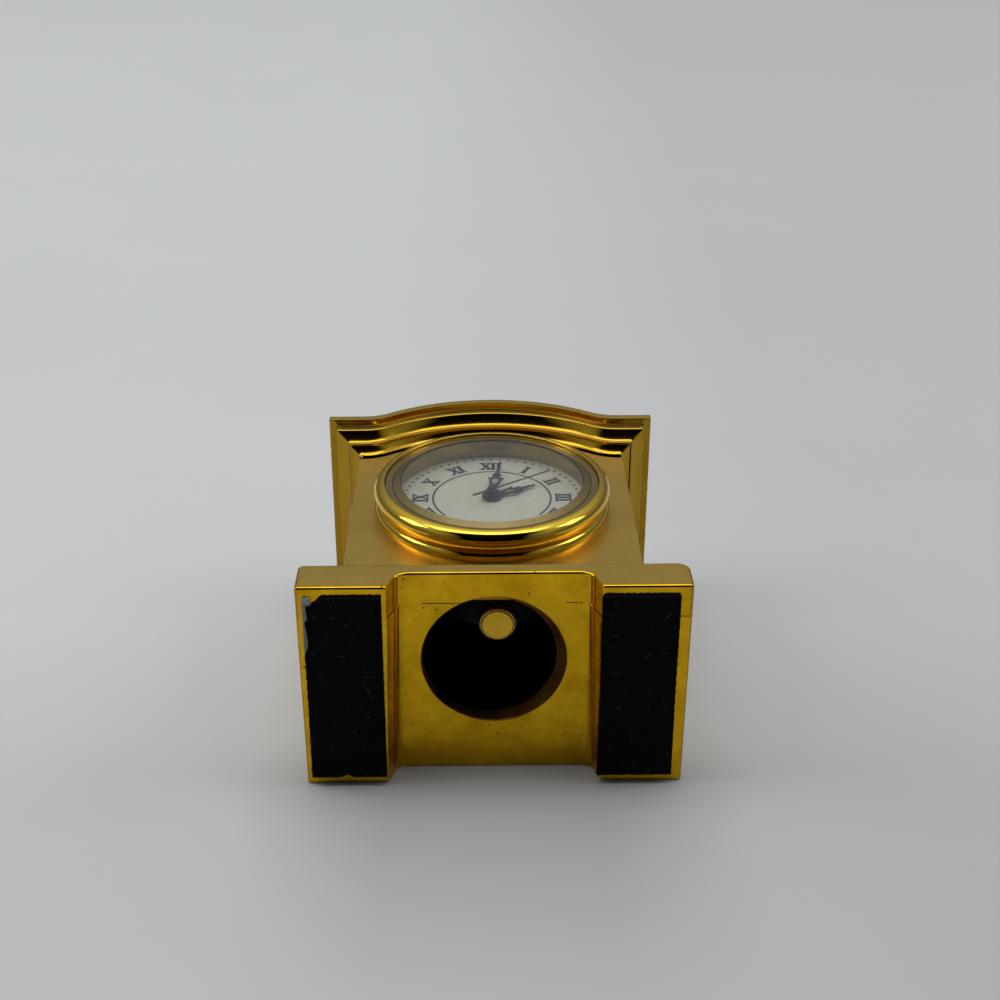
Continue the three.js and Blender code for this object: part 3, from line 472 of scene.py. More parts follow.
def plated(name, light, dark, rough_low, rough_high, grain, pit_spacing=900.0, pit_size=0.1,
           stretch=(1, 1, 1), pit_depth=0.02 * mm, wave=0.0, seam=False):
    """Metal with a cloudy tone, a fine grain and a few small pits."""
    made, tree, shader = new_material(name)
    spot = place_on_object(tree, stretch)
    skin = tree.nodes.new("ShaderNodeGroup")
    skin.node_tree = cast_skin
    skin.inputs["Pit Spacing"].default_value = pit_spacing
    skin.inputs["Pit Size"].default_value = pit_size
    tree.links.new(spot, skin.inputs["Vector"])
    tone = remap(tree, skin.outputs["Cloud"], 0.0, 1.0)
    colour = blend_colours(tree, tone, light, dark)
    for mark, share, tint in (("Pits", 0.75, pit_colour), ("Stain", 0.4, stain_colour)):
        amount = math_step(tree, "MULTIPLY", skin.outputs[mark], share)
        colour = blend_colours(tree, amount, colour, tint)
    shader.inputs["Metallic"].default_value = 1.0
    gloss = remap(tree, skin.outputs["Speckle"], rough_low, rough_high)
    normal = raised(tree, skin.outputs["Wave"], wave)
    normal = raised(tree, skin.outputs["Speckle"], grain, normal)
    normal = raised(tree, skin.outputs["Pits"], pit_depth, normal, True)
    if seam:
        mask = seam_mask(tree)
        colour = blend_colours(tree, mask, colour, line_colour)
        normal = raised(tree, mask, 0.05 * mm, normal)
    feed(tree, shader, {"Base Color": colour, "Roughness": gloss, "Normal": normal})
    return made


gold = (0.635, 0.415, 0.085)
gold_worn = (0.56, 0.36, 0.07)
polished = (0.46, 0.28, 0.022)
polished_worn = (0.39, 0.225, 0.015)
satin_gold = plated("satin_gold", gold, gold_worn, 0.30, 0.38, 0.0012 * mm, wave=0.006 * mm)
case_gold = plated("case_gold", polished, polished_worn, 0.07, 0.14, 0.0003 * mm, wave=0.006 * mm)
# Painted shade: a darker copy of the polished gold, for the faces that point sideways.
shaded_side_gold = plated("shaded_side_gold", (0.37, 0.225, 0.014), (0.30, 0.18, 0.010), 0.10, 0.18, 0.0003 * mm,
                   wave=0.010 * mm)
dull_gold = plated("dull_gold", (0.46, 0.28, 0.04), (0.40, 0.23, 0.03), 0.38, 0.48, 0.001 * mm)
foot_gold = plated("foot_gold", (0.80, 0.47, 0.014), (0.52, 0.28, 0.005), 0.08, 0.16, 0.0004 * mm,
                   pit_size=0.14, wave=0.034 * mm, seam=True)
hole_wall_gold = plated("hole_wall_gold", (0.80, 0.48, 0.12), (0.46, 0.19, 0.05), 0.28, 0.5,
                        0.004 * mm, pit_spacing=1500.0, pit_size=0.22)
bright_gold = plated("bright_gold", (0.80, 0.52, 0.06), (0.78, 0.50, 0.05), 0.03, 0.07, 0.0001 * mm,
                     wave=0.0012 * mm)
crown_gold = plated("crown_gold", (0.80, 0.50, 0.05), (0.70, 0.42, 0.03), 0.34, 0.46, 0.004 * mm)
knurl_gold = plated("knurl_gold", (0.90, 0.64, 0.20), (0.82, 0.56, 0.16), 0.30, 0.38, 0.0004 * mm)
rim_gold = plated("rim_gold", (0.30, 0.235, 0.105), (0.25, 0.19, 0.08), 0.34, 0.42, 0.0008 * mm)
rehaut_gold = plated("rehaut_gold", (0.34, 0.22, 0.025), (0.30, 0.19, 0.02), 0.22, 0.28,
                     0.0006 * mm, stretch=(1.0, 0.08, 1.0))
movement_brass = plated("movement_brass", (0.80, 0.62, 0.28), (0.70, 0.52, 0.20), 0.25, 0.4,
                        0.001 * mm)
nickel = plated("nickel_plate", (0.66, 0.65, 0.62), (0.58, 0.57, 0.54), 0.22, 0.36, 0.001 * mm)
dark_nickel = plated("dark_nickel", (0.05, 0.048, 0.045), (0.03, 0.03, 0.028), 0.45, 0.6,
                     0.001 * mm)
steel = plated("bright_steel", (0.56, 0.56, 0.57), (0.46, 0.46, 0.47), 0.22, 0.34, 0.001 * mm)
copper = plated("enamelled_wire", (0.62, 0.28, 0.12), (0.50, 0.20, 0.08), 0.25, 0.4, 0.004 * mm,
                stretch=(6, 0.2, 0.2))
print("metals:", satin_gold.name, bright_gold.name, rehaut_gold.name, nickel.name, steel.name)


# %% Plastics, paint, felt and glass
def moulded(name, light, dark, rough_low, rough_high, grain=0.004 * mm, scale=1800.0):
    """Plastic or paint: two near tones, an uneven gloss and a fine moulded grain."""
    made, tree, shader = new_material(name)
    spot = place_on_object(tree)
    mottle = noise(tree, spot, scale, 5.0, 0.6)
    broad = noise(tree, spot, scale / 8, 3.0)
    colour = blend_colours(tree, remap(tree, broad, 0, 1), light, dark)
    gloss = remap(tree, mottle, rough_low, rough_high)
    normal = raised(tree, mottle, grain)
    feed(tree, shader, {"Base Color": colour, "Roughness": gloss, "Normal": normal})
    return made


black_plastic = moulded("black_plastic", (0.012, 0.012, 0.013), (0.007, 0.007, 0.007), 0.55, 0.7)
lint_grey = moulded("lint_grey", (0.16, 0.16, 0.15), (0.06, 0.06, 0.06), 0.8, 0.95)
glue_grey = moulded("glue_grey", (0.42, 0.42, 0.39), (0.26, 0.26, 0.24), 0.7, 0.9,
                    0.03 * mm, 2600.0)
white_plastic = moulded("white_plastic", (0.80, 0.78, 0.72), (0.72, 0.70, 0.64), 0.4, 0.55)
board_green = moulded("board_green", (0.03, 0.14, 0.06), (0.02, 0.09, 0.04), 0.3, 0.5)
hand_black = moulded("hand_black", (0.022, 0.022, 0.024), (0.012, 0.012, 0.012), 0.30, 0.48,
                     0.001 * mm, 3000.0)
dial_white = moulded("dial_white", (0.54, 0.545, 0.425), (0.49, 0.495, 0.375), 0.32, 0.5,
                     0.001 * mm, 9000.0)
for node_of in black_plastic.node_tree.nodes:
    if node_of.type == "BSDF_PRINCIPLED":
        node_of.inputs["Specular IOR Level"].default_value = 0.15
print("plastics:", black_plastic.name, white_plastic.name, board_green.name, hand_black.name)

felt_black, felt_tree, felt_shader = new_material("felt_black")
felt_spot = place_on_object(felt_tree)
pile = noise(felt_tree, felt_spot, 7000.0, 6.0, 0.75, 1.6)
lint = node(felt_tree, "ShaderNodeTexVoronoi", Scale=700.0, Randomness=1.0)
felt_tree.links.new(felt_spot, lint.inputs["Vector"])
speck = math_step(felt_tree, "LESS_THAN", lint.outputs["Distance"], 0.045)
felt_colour = blend_colours(felt_tree, remap(felt_tree, pile, 0, 1, 0.35, 0.75),
                            (0.0015, 0.0015, 0.0018), (0.007, 0.007, 0.007))
felt_colour = blend_colours(felt_tree, speck, felt_colour, (0.03, 0.03, 0.03))
felt_gloss = remap(felt_tree, pile, 0.85, 1.0)
for socket, value in (("Specular IOR Level", 0.05), ("Sheen Weight", 0.02),
                      ("Sheen Roughness", 0.5)):
    felt_shader.inputs[socket].default_value = value
felt_normal = raised(felt_tree, pile, 0.06 * mm)
feed(felt_tree, felt_shader,
     {"Base Color": felt_colour, "Roughness": felt_gloss, "Normal": felt_normal})

clear_glass, glass_tree, glass_shader = new_material("clear_glass")
glass_shader.inputs["Base Color"].default_value = (0.97, 0.985, 0.975, 1)
for socket, value in (("Transmission Weight", 1.0), ("IOR", 1.5), ("Specular IOR Level", 0.12)):
    glass_shader.inputs[socket].default_value = value
smudge = noise(glass_tree, place_on_object(glass_tree), 500.0, 4.0, 0.7)
glass_gloss = remap(glass_tree, smudge, 0.0, 0.035)
glass_tree.links.new(glass_gloss, glass_shader.inputs["Roughness"])
open_way = glass_tree.nodes.new("ShaderNodeBsdfTransparent")
light_path = glass_tree.nodes.new("ShaderNodeLightPath")
either = math_step(glass_tree, "MAXIMUM", light_path.outputs["Is Shadow Ray"],
                   light_path.outputs["Is Diffuse Ray"])
mixed(glass_tree, either, glass_shader, open_way)
print("felt and glass made")


# %% Give a piece its finish and its body
def hand_over(piece, body, finish, stands_for=()):
    piece.data.materials.clear()
    piece.data.materials.append(finish)
    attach(piece, body)
    if stands_for:
        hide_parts(*stands_for)
    print(piece.name, "faces:", len(piece.data.polygons))


flat_front = -0.985


def second_finish(piece, finish, belongs):
    """Give another finish to the faces that pass a test."""
    piece.data.materials.append(finish)
    found = [face for face in piece.data.polygons if belongs(face)]
    for face in found:
        face.material_index = len(piece.data.materials) - 1
    print(piece.name, finish.name, "faces:", len(found))


# %% [markdown]
# ## Case
#
# The case is one casting on the real clock. It is made here as four meshes: the plinth, the body, a
# small fillet along the body's foot, and the cornice. They meet where the casting has an inner
# corner.

# %% Plinth: two feet and the channel between them
channel_half = 11.1 * mm
flank_run = 0.5 * mm
fillet = 1.5 * mm
corners = {1: 1.4 * mm, -1: 0.7 * mm}
flank_top = channel_half - flank_run
edge_radius = 0.34 * mm


def plinth_side(hand):
    """Half of the plinth's outline, from the middle of the channel out and up to its top edge."""
    corner = corners[hand]
    points = list(reversed(arc((flank_top - fillet, ceiling_z - fillet), fillet, 0, 90, 9)))
    points += arc((channel_half + edge_radius, foot_z + edge_radius), edge_radius, 195, 270, 4)
    points += arc((plinth_half - edge_radius, foot_z + edge_radius), edge_radius, 270, 360, 4)
    points += arc((plinth_half - corner, plinth_top_z - corner), corner, 0, 90, 7)
    return [(hand * x, front_y, z) for x, z in points]


plinth_points = plinth_side(1) + list(reversed(plinth_side(-1)))
plinth = prism("case_plinth", plinth_points, back_y - front_y)
side_draft = 0.17 * mm
channel_draft = 0.68 * mm
for vertex in plinth.data.vertices:
    share = (vertex.co.y - front_y) / (back_y - front_y)
    draw = channel_draft if abs(vertex.co.x) < (channel_half + plinth_half) / 2 else -side_draft
    vertex.co.x += math.copysign(1, vertex.co.x) * draw * share
front_round = 0.3 * mm
round_edges(plinth, lambda end: end.y < front_y + 0.001 * mm, front_round)
back_round = 0.12 * mm
round_edges(plinth, lambda end: end.y > back_y - 0.001 * mm, back_round, 3)
print("plinth corners:", len(plinth.data.vertices))

# %% Hand hole through the web
hole_radius = 8 * mm
hole_taper = 0.6 * mm
hole_lean = 0.5 * mm
hole_y = mid_y - 1.6 * mm
web = plinth_top_z - ceiling_z
reach = 0.5 * mm
rim_round = 0.12 * mm
deselect_all()
bpy.ops.mesh.primitive_cone_add(
    vertices=128, radius1=hole_radius + hole_taper * reach / web,
    radius2=hole_radius - hole_taper * (web + reach) / web, depth=web + 2 * reach,
    location=(0, hole_y, (plinth_top_z + ceiling_z) / 2))
hole_tool = settle(bpy.context.object)
for vertex in hole_tool.data.vertices:
    rise = (vertex.co.z - ceiling_z) / web
    vertex.co.x -= hole_lean * rise
    vertex.co.y += hole_lean * rise
use(plinth, "BOOLEAN", object=hole_tool, operation="DIFFERENCE", solver="EXACT")
bpy.data.objects.remove(hole_tool)
close_up(plinth)
round_edges(plinth, lambda end: abs(end.z - ceiling_z) < 0.002 * mm
            and abs(math.hypot(end.x, end.y - hole_y) - hole_radius) < 0.03 * mm, rim_round, 3)

# %% Step at the parting line of the die
seam_y = front_y + 3.7 * mm
seam_step = 0.14 * mm
for y in (seam_y, seam_y + seam_step):
    cut_at(plinth, (0, y, 0), (0, 1, 0))
for vertex in plinth.data.vertices:
    place = vertex.co
    on_flank = flank_top - fillet < abs(place.x) < channel_half + 0.8 * mm
    between_feet = foot_z - mm < place.z < ceiling_z - 0.2 * mm
    if on_flank and between_feet and place.y < seam_y + 0.01 * mm:
        place.x += math.copysign(seam_step, place.x)
flatten(plinth)
hand_over(plinth, "case", foot_gold, ["case_casting"])


def in_hole_wall(face):
    out_from_axis = (Vector((face.center.x, face.center.y - hole_y))).length
    return (ceiling_z < face.center.z < plinth_top_z and out_from_axis < hole_radius + 0.05 * mm
            and abs(face.normal.z) < 0.6)


second_finish(plinth, hole_wall_gold, in_hole_wall)
second_finish(plinth, satin_gold, lambda face: face.normal.y < flat_front)
second_finish(plinth, case_gold, lambda face: face.normal.y > -0.9
              and abs(face.center.x) > plinth_half - 0.3 * mm)
second_finish(plinth, dull_gold, lambda face: face.normal.z > 0.9)

# %% Body: outer box, hollow and bore
wall = 1.8 * mm
front_wall = 1.2 * mm
roof_inner_z = body_top_z + 1.4 * mm
arch_stations = 64


def arched_points(half, bottom, top, y):
    points = [(-half, y, bottom), (half, y, bottom)]
    for i in range(arch_stations + 1):
        x = half - 2 * half * i / arch_stations
        points.append((x, y, top + arch_height(x)))
    return points


inner_y = face_y + front_wall
sunk_z = plinth_top_z - 0.25 * mm
body = prism("case_body", arched_points(body_half, sunk_z, body_top_z + mm, face_y),
             back_y - face_y)
hollow = prism("hollow", arched_points(body_half - wall, plinth_top_z, roof_inner_z, inner_y),
               back_y - face_y)
opening_half = 9.5 * mm
floor_cut = prism("floor_cut", [(x, inner_y, z) for x, z in (
    (-opening_half, 0), (opening_half, 0),
    (opening_half, plinth_top_z + mm), (-opening_half, plinth_top_z + mm))], 22 * mm)
bore_radius = can_radius + 0.5 * mm
bore = turned("bore", [(0, face_y - mm), (bore_radius, face_y - mm), (bore_radius, inner_y + mm),
                       (0, inner_y + mm)], (0, clock_z))
for tool in (hollow, floor_cut, bore):
    use(body, "BOOLEAN", object=tool, operation="DIFFERENCE", solver="EXACT")
    bpy.data.objects.remove(tool)
close_up(body)
soften(body, 0.12 * mm, 2, 50)
flatten(body)
# All faces of the body but its front get the darker side gold, which is painted shade.
hand_over(body, "case", shaded_side_gold, ["case_casting"])
second_finish(body, satin_gold, lambda face: face.normal.y < -0.9)

# %% Small fillet where the body stands on the plinth
fillet_rise = 0.2 * mm
curve = [(face_y, plinth_top_z)]
for degrees in (0, 22, 45, 68, 90):
    angle = math.radians(degrees)
    curve.append((face_y - fillet_rise * (1 - math.sin(angle)),
                  plinth_top_z + fillet_rise * (1 - math.cos(angle))))
foot_fillet = prism("body_foot_fillet", [(-body_half, y, z) for y, z in curve],
                    (2 * body_half, 0, 0))
shade(foot_fillet, 40)
hand_over(foot_fillet, "case", case_gold, ["case_casting"])

# %% [markdown]
# The cornice is one moulding that runs along the left side, over the front and back along the right
# side. Each line of its profile follows the same path at its own distance, so it is a grid: the
# profile in one direction and the path in the other. The front run rises with the arch.

# %% Cornice moulding
overhang = 3.95 * mm
forward = (face_y - front_y) / overhang
lip = 1.0 * mm
slab_out = overhang - lip
fillet_in = slab_out * (1 - 0.52 - 0.13)
fillet_out = slab_out * (1 - 0.52)
lower_rise = 0.95 * mm
step_rise = 0.4 * mm
upper_rise = 1.25 * mm
slab_rise = 1.3 * mm
edge_round = 0.14 * mm


def cove(out, z, run, rise, steps=6):
    """A shallow hollow between two arrises: a straight slope drawn in a little at its middle."""
    hollow = 0.05
    points = []
    for i in range(steps + 1):
        share = i / steps
        sink = 4 * hollow * share * (1 - share)
        points.append((out + run * (share - sink), z + rise * (share + sink)))
    return points


moulding = [(0, body_top_z - mm)]
moulding += cove(0, body_top_z, fillet_in, lower_rise)
moulding += [(fillet_out, body_top_z + lower_rise)]
moulding += cove(fillet_out, body_top_z + lower_rise + step_rise, slab_out - fillet_out, upper_rise)
lip_bottom = body_top_z + lower_rise + step_rise + upper_rise + slab_rise
moulding += [(slab_out, lip_bottom), (overhang, lip_bottom), (overhang, shoulder_z)]
across = 72


def grid_of(columns, rows, place_of):
    """A grid primitive, with each corner set by its row and column."""
    deselect_all()
    bpy.ops.mesh.primitive_grid_add(x_subdivisions=columns - 1, y_subdivisions=rows - 1, size=mm)
    piece = settle(bpy.context.object)
    for index, vertex in enumerate(piece.data.vertices):
        vertex.co = place_of(*divmod(index, columns))
    return piece


def cornice_point(column, out, z):
    """Column 0 is the back left corner, 1 the front left, and so on round to the back right."""
    x_end = body_half + out
    y = face_y - out * forward
    if column == 0:
        return (-x_end, back_y, z)
    if column == across + 2:
        return (x_end, back_y, z)
    x = -x_end + 2 * x_end * (column - 1) / across
    return (x, y, z + arch_height(x))


def roof_point(row, column):
    x = (body_half + overhang) * (2 * column / across - 1)
    return (x, back_y if row else front_y, shoulder_z + arch_height(x))


def gable_point(row, column):
    share = 2 * column / across - 1
    if row:
        x = (body_half + overhang) * share
        return (x, back_y, shoulder_z + arch_height(x))
    x = body_half * share
    return (x, back_y, roof_inner_z + arch_height(x))


columns = across + 3
cornice = grid_of(columns, len(moulding), lambda row, column: cornice_point(column, *moulding[row]))
roof = grid_of(across + 1, 2, roof_point)
gable = grid_of(across + 1, 2, gable_point)
close_up(join_all([cornice, roof, gable], "case_cornice"))
soften(cornice, edge_round, 2, 35)
flatten(cornice, 28)
hand_over(cornice, "case", case_gold, ["case_casting"])
# Faces that point sideways get the darker side gold, which is painted shade.
second_finish(cornice, shaded_side_gold, lambda face: abs(face.normal.x) > 0.8)
second_finish(cornice, satin_gold, lambda face: face.normal.y < flat_front
              and face.area > 0.02 * mm * mm)
print("cornice points per line:", columns)

# %% [markdown]
# ## Clock insert
#
# The bezel is a polished ring over a thinner flange. It is turned from one profile, so its bright
# and dark bands come from the curve of the profile alone.

# %% Bezel ring
bezel_outer = 14.0 * mm
bezel_front = face_y - 3.5 * mm
bezel_inner = can_radius + 0.05 * mm
flange_front = face_y - 1.0 * mm
crest = bezel_inner + 0.10 * mm
bead_deep = 1.25 * mm
bead_middle = bezel_front + bead_deep
groove_radius = bezel_outer - 0.45 * mm
flange_inner = groove_radius - 0.25 * mm
bezel_profile = [(bezel_inner, face_y)]
flange_reach = (bezel_outer - 0.03 * mm - flange_inner, face_y - flange_front)
bezel_profile += arc((flange_inner, face_y), flange_reach, 0, -90, 10)
bezel_profile += [(groove_radius - 0.3 * mm, flange_front - 0.05 * mm)]
bezel_profile += arc((crest, bead_middle), (bezel_outer - crest, bead_deep), 52, -90, 22)
bezel_profile += arc((crest, bezel_front + 0.1 * mm), (crest - bezel_inner, 0.1 * mm), -96, -170, 6)
bezel = turned("bezel", bezel_profile, (0, clock_z), 192)
shade(bezel, 40)
hand_over(bezel, "case", bright_gold, ["bezel_ring"])

# %% Glass
glass_low, glass_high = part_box("glass")
glass_front, glass_back = glass_low[1], glass_high[1]
glass_radius = 11.7 * mm
flat_radius = 10.8 * mm
rim_y = glass_front + 0.33 * mm
lens_thick = 0.2 * mm
lens_back = glass_front + lens_thick
glass_profile = [(0, glass_front), (flat_radius, glass_front), (glass_radius, rim_y),
                 (glass_radius, glass_back), (glass_radius - 0.25 * mm, glass_back),
                 (flat_radius - 0.1 * mm, lens_back), (0, lens_back)]
lens = turned("watch_glass", glass_profile, (0, clock_z), 160)
shade(lens, 15)
hand_over(lens, "case", clear_glass, ["glass"])
second_finish(lens, rim_gold, lambda face: face.normal.y < -0.5
              and face.center.y > glass_front + 0.01 * mm)

# %% Satin rim and wall round the dial
dial_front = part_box("dial")[0][1]
ease = 0.05 * mm
seat_radius = glass_radius + ease
seat_y = glass_back + ease
wall_radius = 11.2 * mm
wall_outer = 12.0 * mm
rim_profile = [(wall_radius, dial_front), (wall_outer, dial_front), (wall_outer, seat_y),
               (can_radius, seat_y), (can_radius, rim_y + ease), (can_radius - ease, rim_y),
               (seat_radius + ease, rim_y), (seat_radius, rim_y + ease), (seat_radius, seat_y),
               (wall_radius, seat_y)]
rim = turned("dial_rim", rim_profile, (0, clock_z), 160)
shade(rim, 40)
hand_over(rim, "case", rim_gold, ["rehaut_ring"])
second_finish(rim, rehaut_gold, lambda face: face.center.y > rim_y + ease)

# %% Dial figures
print_rise = 0.012 * mm
thick = 0.44 * mm
thin = 0.21 * mm
figure_height = 1.68 * mm
figure_radius = 8.5 * mm
letter_gap = 0.2 * mm
stroke_gap = 0.22 * mm
v_wide = 1.05 * mm
x_wide = 0.98 * mm
letters = {
    "I": (thick + stroke_gap, [
        (thick / 2, 0, thick / 2, 1, thick), (-thin, 0, thick + thin, 0, thin),
        (-thin, 1, thick + thin, 1, thin)]),
    "V": (v_wide + letter_gap, [
        (thick / 2, 1, v_wide / 2, 0, thick), (v_wide, 1, v_wide / 2, 0, thin * 1.3),
        (-thin, 1, thick + thin * 2, 1, thin),
        (v_wide - thin * 2, 1, v_wide + thin * 1.5, 1, thin)]),
    "X": (x_wide + letter_gap, [
        (0, 1, x_wide, 0, thick), (0, 0, x_wide, 1, thin * 1.3),
        (-thin * 1.5, 0, thick, 0, thin), (x_wide - thick, 0, x_wide + thin * 1.5, 0, thin),
        (-thin * 1.5, 1, thick, 1, thin), (x_wide - thick, 1, x_wide + thin * 1.5, 1, thin)]),
}


def strokes(text):
    """Strokes of a Roman figure as (start, end, width) with x to the right and 1 as full height."""
    found, x = [], 0.0
    for letter in text:
        advance, lines = letters[letter]
        found += [((x + a, low), (x + b, high), line) for a, low, b, high, line in lines]
        x += advance
    return found, x - letter_gap


def printed(points, name):
    """A thin printed shape that stands a hair above the dial."""
    piece = outline(name, [(x, dial_front, z) for x, z in points])
    edit(piece)
    bpy.ops.mesh.extrude_region_move(TRANSFORM_OT_translate={"value": (0, -print_rise, 0)})
    return close_up(piece)


marks = []
figures = ("I", "II", "III", "IIII", "V", "VI", "VII", "VIII", "IX", "X", "XI", "XII")
for hour, text in enumerate(figures, 1):
    found, width = strokes(text)
    angle = math.radians(30 * hour)
    outward = Vector((math.sin(angle), math.cos(angle)))
    sideways = Vector((math.cos(angle), -math.sin(angle)))
    centre = Vector((0, clock_z)) + outward * figure_radius
    for start, end, line in found:
        a = centre + sideways * (start[0] - width / 2) + outward * (start[1] - 0.5) * figure_height
        b = centre + sideways * (end[0] - width / 2) + outward * (end[1] - 0.5) * figure_height
        along = (b - a).normalized()
        beside = Vector((-along.y, along.x)) * line / 2
        marks.append(printed([a + beside, a - beside, b - beside, b + beside], "mark"))
tick_inner, tick_outer = 10.2 * mm, 10.65 * mm
for minute in range(60):
    angle = math.radians(6 * minute)
    outward = Vector((math.sin(angle), math.cos(angle)))
    beside = Vector((outward.y, -outward.x)) * (0.13 * mm if minute % 5 == 0 else 0.10 * mm)
    a = Vector((0, clock_z)) + outward * tick_inner
    b = Vector((0, clock_z)) + outward * tick_outer
    marks.append(printed([a + beside, a - beside, b - beside, b + beside], "mark"))
ring_gap = 51.5
ring_outer, ring_inner = 7.12 * mm, 6.88 * mm
ring_points = arc((0, clock_z), ring_outer, 270 + ring_gap, 630 - ring_gap, 90)
ring_points += reversed(arc((0, clock_z), ring_inner, 270 + ring_gap, 630 - ring_gap, 90))
ring = printed([Vector(point) for point in ring_points], "mark")
settle(join_all([ring] + marks, "dial_figures"))
hand_over(ring, "case", hand_black)

# %% [markdown]
# ## Hands
#
# Each hand is stamped from thin sheet and pierced, so it is an outline with a hole, and its hub is
# a short turned boss. The three hubs stand above each other on the arbors.

# %% Hands
hand_thick = 0.15 * mm


def pierced_outline(length, barb, half_wide, shaft=0.20 * mm):
    """Outline of a pierced hand that points up: a heart with two barbs, a spade and a long tip."""
    shares = ((0.42, 0), (0.46, 0.40), (0.62, 0.58), (0.74, 0.76), (0.76, 0.90), (0.92, 0.96),
              (1.02, 1.07), (0.70, 1.04), (0.44, 1.08), (0.50, 1.15), (0.60, 1.24), (0.44, 1.33))
    right_side = [(half_wide * across, barb * up) for across, up in shares]
    right_side += [(shaft * 1.15, barb * 1.42), (shaft, barb * 1.6),
                   (shaft * 0.72, length - 0.1 * mm), (shaft * 0.4, length)]
    return right_side + [(-x, z) for x, z in reversed(right_side)]


def heart_hole(low, high, half_wide):
    """Outline of the pierced opening: narrow toward the hub, wide toward the barbs."""
    points = []
    for i in range(24):
        turn_of = 2 * math.pi * i / 24
        rise = 0.5 - 0.5 * math.cos(turn_of)
        swell = 0.6 + 0.55 * rise
        points.append((half_wide * math.sin(turn_of) * swell, low + (high - low) * rise))
    return points


def turn_by(points, degrees):
    """Points of x and z about the dial's centre, turned clockwise from twelve o'clock."""
    c, q = math.cos(math.radians(degrees)), math.sin(math.radians(degrees))
    return [(x * c + z * q, clock_z - x * q + z * c) for x, z in points]


def make_hand(name, node_name, body_name, points, degrees, hub, holes=(), cap=0.0002 * mm):
    """A pierced blade with a stepped boss, laid where its CAD node stands."""
    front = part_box(node_name)[0][1]
    lip = 0.03 * mm
    blade = prism(name, [(x, front + lip, z) for x, z in turn_by(points, degrees)],
                  hand_thick - lip)
    for hole in holes:
        tool = prism("pierce", [(x, front - mm, z) for x, z in turn_by(hole, degrees)], 2 * mm)
        use(blade, "BOOLEAN", object=tool, operation="DIFFERENCE", solver="EXACT")
        bpy.data.objects.remove(tool)
    close_up(blade)
    soften(blade, 0.025 * mm, 1, 40)
    boss_back = front + hand_thick * 1.5
    boss_profile = [(0, front - cap), (hub * 0.62, front - cap), (hub * 0.72, front - cap * 0.8),
                    (hub * 0.72, front), (hub - 0.06 * mm, front + 0.005 * mm),
                    (hub, front + 0.07 * mm), (hub, boss_back), (0, boss_back)]
    boss = turned("boss", boss_profile, (0, clock_z), 64)
    shade(join_all([blade, boss], name), 30)
    hand_over(blade, body_name, hand_black, [node_name])


minute_degrees = 8
hour_degrees = 62.5
second_degrees = 55
hand_cap = 0.16 * mm
make_hand("minute_hand_pierced", "minute_hand", "minute_train",
          pierced_outline(8.3 * mm, 3.65 * mm, 0.95 * mm), minute_degrees, 0.95 * mm,
          [heart_hole(2.15 * mm, 3.75 * mm, 0.46 * mm)], hand_cap)
make_hand("hour_hand_pierced", "hour_hand", "hour_train",
          pierced_outline(5.9 * mm, 3.0 * mm, 1.0 * mm), hour_degrees, 1.2 * mm,
          [heart_hole(1.75 * mm, 3.1 * mm, 0.46 * mm)], hand_cap)
slim = [(0.17 * mm, -2.75 * mm), (0.14 * mm, 0), (0.07 * mm, 8.7 * mm)]
make_hand("second_hand_slim", "second_hand", "seconds_train",
          [(-slim[0][0], slim[0][1])] + slim + [(-x, z) for x, z in slim[:0:-1]],
          second_degrees, 0.62 * mm, (), 0.32 * mm)

# %% [markdown]
# ## Crown
#
# The crown is turned and then knurled: its rim is cut into small flutes. Here it is spun from a
# profile, and the outer points are drawn in wherever a flute runs.

# %% Crown
crown_low, crown_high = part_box("crown")
crown_centre = ((crown_low[0] + crown_high[0]) / 2, (crown_low[1] + crown_high[1]) / 2)
crown_radius = (crown_high[0] - crown_low[0]) / 2
crown_z = crown_low[2]
flutes = 36
flute_depth = 0.11
knurl_start = 1.8 * mm
crown_rings = ((0, 0.05), (1.40, 0.03), (1.60, 0), (1.68, 0.02), (1.72, 0.08), (1.73, 0.28),
               (1.80, 0.28), (1.84, 0.16), (1.94, 0.14), (2.06, 0.22))
crown_profile = [(radius * mm, crown_z + rise * mm) for radius, rise in crown_rings]
crown_profile += [(crown_radius, crown_z + 0.36 * mm), (crown_radius, crown_z + 2.2 * mm),
                  (2.0 * mm, crown_z + 2.4 * mm), (1.1 * mm, crown_z + 2.5 * mm),
                  (1.1 * mm, crown_high[2]), (0, crown_high[2])]
crown = turned_upright("setting_crown", crown_profile, crown_centre, flutes * 6)
for vertex in crown.data.vertices:
    out = Vector((vertex.co.x - crown_centre[0], vertex.co.y - crown_centre[1]))
    if out.length > knurl_start:
        dip = 0.5 - 0.5 * math.cos(flutes * math.atan2(out.y, out.x))
        out *= 1 - flute_depth * dip ** 2
        vertex.co.x, vertex.co.y = crown_centre[0] + out.x, crown_centre[1] + out.y
shade(crown, 25)


def on_knurl(face):
    """True on the fluted outside of the crown and in the ring at its lowest edge."""
    centre = face.center
    off_axis = math.hypot(centre.x - crown_centre[0], centre.y - crown_centre[1])
    return off_axis > knurl_start or centre.z < crown_z + 0.06 * mm


hand_over(crown, "crown_and_stem", bright_gold, ["crown"])
second_finish(crown, knurl_gold, on_knurl)
second_finish(crown, crown_gold, lambda face: face.normal.z < -0.97
              and face.center.z < crown_z + 0.045 * mm)

# %% [markdown]
# ## Felt pads
#
# Two felt pads are glued under the feet. Cut felt has a soft, uneven edge with loose fibres, and on
# this clock the left pad has lifted at its outer corner, where a strip of grey glue shows.

# %% Felt pads
chance_of = random.Random(7)
pad_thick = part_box("felt_pad_left")[1][2]


edge_step = 0.16 * mm
edge_drift = 0.03 * mm
edge_ragged = 0.07 * mm


